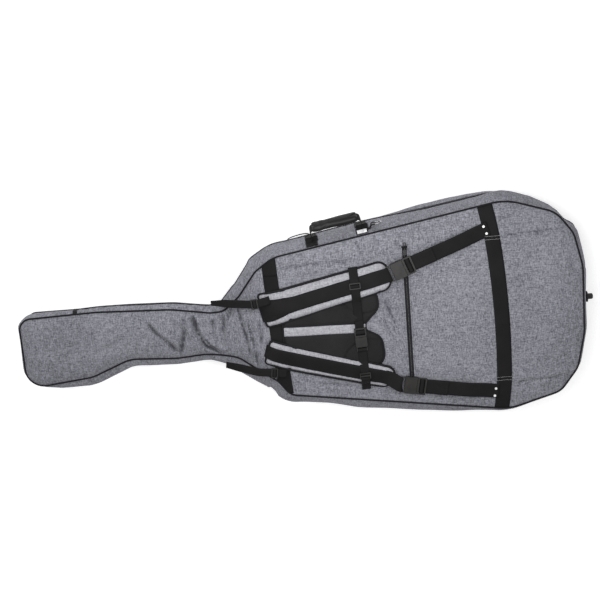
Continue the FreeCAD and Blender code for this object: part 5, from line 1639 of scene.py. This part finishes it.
# %% Feet of the handle
for name, w in (("left", -HANDLE_HALF), ("right", HANDLE_HALF)):
    x = PIVOT[0] + w * ALONG[0]
    path = [on_wall(x, z, 1, 0.0022) for z in np.linspace(0.110, 0.166, 9)]
    for d, rise in ((-0.0030, -0.003), (0.0035, 0.0), (-0.0030, 0.0045)):
        path.append(at_handle(w, d) + np.array([0, 0, rise]))
    path += [on_wall(x, z, 1, 0.0022) for z in np.linspace(0.190, 0.214, 5)]
    foot = band("side_handle_foot_" + name, curve_through([tuple(p) for p in path], 0.003), 0.040,
                across=ALONG)
    settle(foot, LID, ("handle_feet",) if name == "left" else ())
    rows_of = []
    for z in (0.118, 0.124, 0.150, 0.156):
        rows_of.append([on_wall(x + dx, z, 1, 0.0038) for dx in np.linspace(-0.016, 0.016, 10)])
    settle(grains("side_handle_stitches_" + name, rows_of, 0.0038, STITCH, THREAD_BLACK), LID)

# %% Silver patch on the right foot
PATCH_THICK = 0.0012
columns = (-0.0165, -0.0155, -0.008, 0.0, 0.008, 0.0155, 0.0165)
heights = (0.193, 0.194, 0.200, 0.206, 0.212, 0.213)
front = []
for z in heights:
    for dx in columns:
        front.append(on_wall(PIVOT[0] + HANDLE_HALF * ALONG[0] + dx, z, 1,
                             0.0046 - PATCH_THICK * (abs(dx) > 0.0155)))
front = np.array(front)
behind = front - OUT * PATCH_THICK
across, total = len(columns), len(front)
faces = grid_faces(len(heights), across)
faces += [tuple(k + total for k in f)[::-1] for f in faces]
rim = [*range(across), *range(2 * across - 1, total, across)]
rim += [*range(total - 2, total - across - 1, -1), *range(total - 2 * across, 0, -across)]
faces += [(a, b, b + total, a + total) for a, b in zip(rim, rim[1:] + rim[:1])]
patch = piece("side_handle_patch", np.concatenate([front, behind]), faces, PLATE)
recalculate(patch)
settle(patch, LID)

# %% Grab handles
for name, side, first, last, node in (("upper", 1, -0.060, 0.090, "grab_handle_a"),
                                      ("lower", -1, -0.082, 0.090, "grab_handle_b")):
    shape = [(first, 0.0018), (first + 0.018, 0.0018), (first + 0.028, 0.006),
             (first + 0.044, 0.0185),
             ((first + last) / 2, 0.0215), (last - 0.044, 0.0185), (last - 0.028, 0.006),
             (last - 0.018, 0.0018),
             (last, 0.0018)]
    path = curve_through([tuple(on_wall(x, 0.044, side, out)) for x, out in shape], 0.003)
    settle(band("grab_loop_" + name, path, 0.026, PLAIN_WEB, 0.0024, across=(0, 0.3, 1)), SHELL,
           (node,))

# %% Tab at the head and keeper of the ring
tab = [tuple(on_wall(-0.770, z, 1, 0.0018)) for z in (0.068, 0.080, 0.090, 0.100, 0.115, 0.128)]
settle(band("head_zip_tab", curve_through(tab, 0.003), 0.014, PLAIN_WEB, across=(1, 0, 0)), SHELL,
       ("head_tab",))
pin = np.array(JOINTS["d_ring_swing"]["pos_m"])
ring_z = JOINTS["d_ring_swing"]["pos_m"][2]
near, far = on_wall(0.2500, ring_z, 1, 0.0014), on_wall(0.2560, ring_z, 1, 0.0020)
turn = [pin + ALONG * a + OUT * b for a, b in ((-0.010, -0.0034), (0.0010, -0.0038),
                                               (0.0038, -0.0004),
                                               (0.0010, 0.0037), (-0.010, 0.0030))]
back_again = [on_wall(0.2565, ring_z, 1, 0.0050), on_wall(0.2490, ring_z, 1, 0.0034)]
path = curve_through([tuple(p) for p in (near, far, *turn, *back_again)], 0.0012)
settle(band("ring_keeper_loop", path, 0.0155, PLAIN_WEB, 0.0016, across=(0, 0, 1)), LID,
       ("ring_keeper",))


# %% [markdown]
# ## Hardware
# Buckles, sliders, rivets, ring, bumper and cord keep the shapes that the model brings, and take a
# finish each.

# %% Finishes of the hardware
HARDWARE = [
    (PLASTIC, ("strap_buckle_female_a", "strap_buckle_female_b", "strap_buckle_male_a",
               "strap_buckle_male_b",
               "chest_buckle_female", "chest_buckle_male", "chest_tri_glides",
               "lifter_ladder_locks")),
    (ENAMEL, ("main_slider_1", "main_slider_2", "main_pull_1", "main_pull_2", "pocket_slider")),
    (RIVET, ("rivets",)), (NICKEL, ("d_ring",)), (RUBBER, ("end_bumper",)),
    (CORDED_BLACK, ("pocket_pull_cord",)),
]
for finish, names in HARDWARE:
    for name in names:
        for place in frame["nodes"][name].material_slots:
            place.material = finish
print("finished", sum(len(names) for _, names in HARDWARE), "kept pieces")


# %% [markdown]
# ## Floor, lights and camera
# The floor and the surroundings are plain and nearly white. One broad light hangs over the middle
# of the bag and a second, weaker one comes from the side of the camera.

# %% Stage
FLOOR_HALF, FLOOR_TOP = 45.0, -0.0006


def stage():
    mesh = bpy.data.meshes.new("floor")
    corners = [(x * FLOOR_HALF, y * FLOOR_HALF, FLOOR_TOP) for x,
               y in ((-1, -1), (1, -1), (1, 1), (-1, 1))]
    mesh.from_pydata(corners, [], [(0, 1, 2, 3)])
    floor = bpy.data.objects.new("floor", mesh)
    bpy.context.scene.collection.objects.link(floor)
    paper = Finish("pale_paper")
    grain = paper.noise(paper.place(), 60.0, 2.0)
    colour = paper.blend(grain, (0.90, 0.90, 0.90), (0.92, 0.92, 0.92))
    white = (1.0, 1.0, 1.0)
    mesh.materials.append(paper.shade(Base_Color=colour, Roughness=0.9, Emission_Color=white,
                                      Emission_Strength=0.45))


def area_light(name, place, target, size, power):
    data = bpy.data.lights.new(name, "AREA")
    data.shape, data.size, data.energy = "DISK", size, power
    made = bpy.data.objects.new(name, data)
    made.location = place
    made.rotation_euler = (Vector(target) - Vector(place)).to_track_quat("-Z", "Y").to_euler()
    bpy.context.scene.collection.objects.link(made)


stage()
area_light("broad_light", (0.25, 0.40, 1.45), (0.24, 0.02, 0.2), 1.0, 15.5)
area_light("side_light", (-1.9, 1.5, 2.2), (-0.3, 0.0, 0.1), 1.8, 30.0)
world = bpy.data.worlds.new("studio")
world.use_nodes = True
world.node_tree.nodes["Background"].inputs["Color"].default_value = (1.0, 1.0, 1.0, 1.0)
world.node_tree.nodes["Background"].inputs["Strength"].default_value = 0.57
bpy.context.scene.world = world
bpy.context.scene.view_settings.view_transform = "Standard"


# %% Camera
def camera():
    tilt, roll, away = math.radians(16.0), math.radians(4.8), 4.6
    aim = Vector((0.00206, 0.05755, 0.12845))
    ahead = Vector((0.0, -math.sin(tilt), -math.cos(tilt)))
    level, rise = Vector((1, 0, 0)), Vector((0, math.cos(tilt), -math.sin(tilt)))
    right = level * math.cos(roll) - rise * math.sin(roll)
    up = level * math.sin(roll) + rise * math.cos(roll)
    data = bpy.data.cameras.new("camera")
    data.lens, data.sensor_width, data.clip_end = 80.7, 36.0, 150.0
    made = bpy.data.objects.new("camera", data)
    columns = [(*column, 0.0) for column in (right, up, -ahead)]
    made.matrix_world = columns + [(*(aim - ahead * away), 1.0)]
    bpy.context.scene.collection.objects.link(made)
    bpy.context.scene.camera = made


camera()
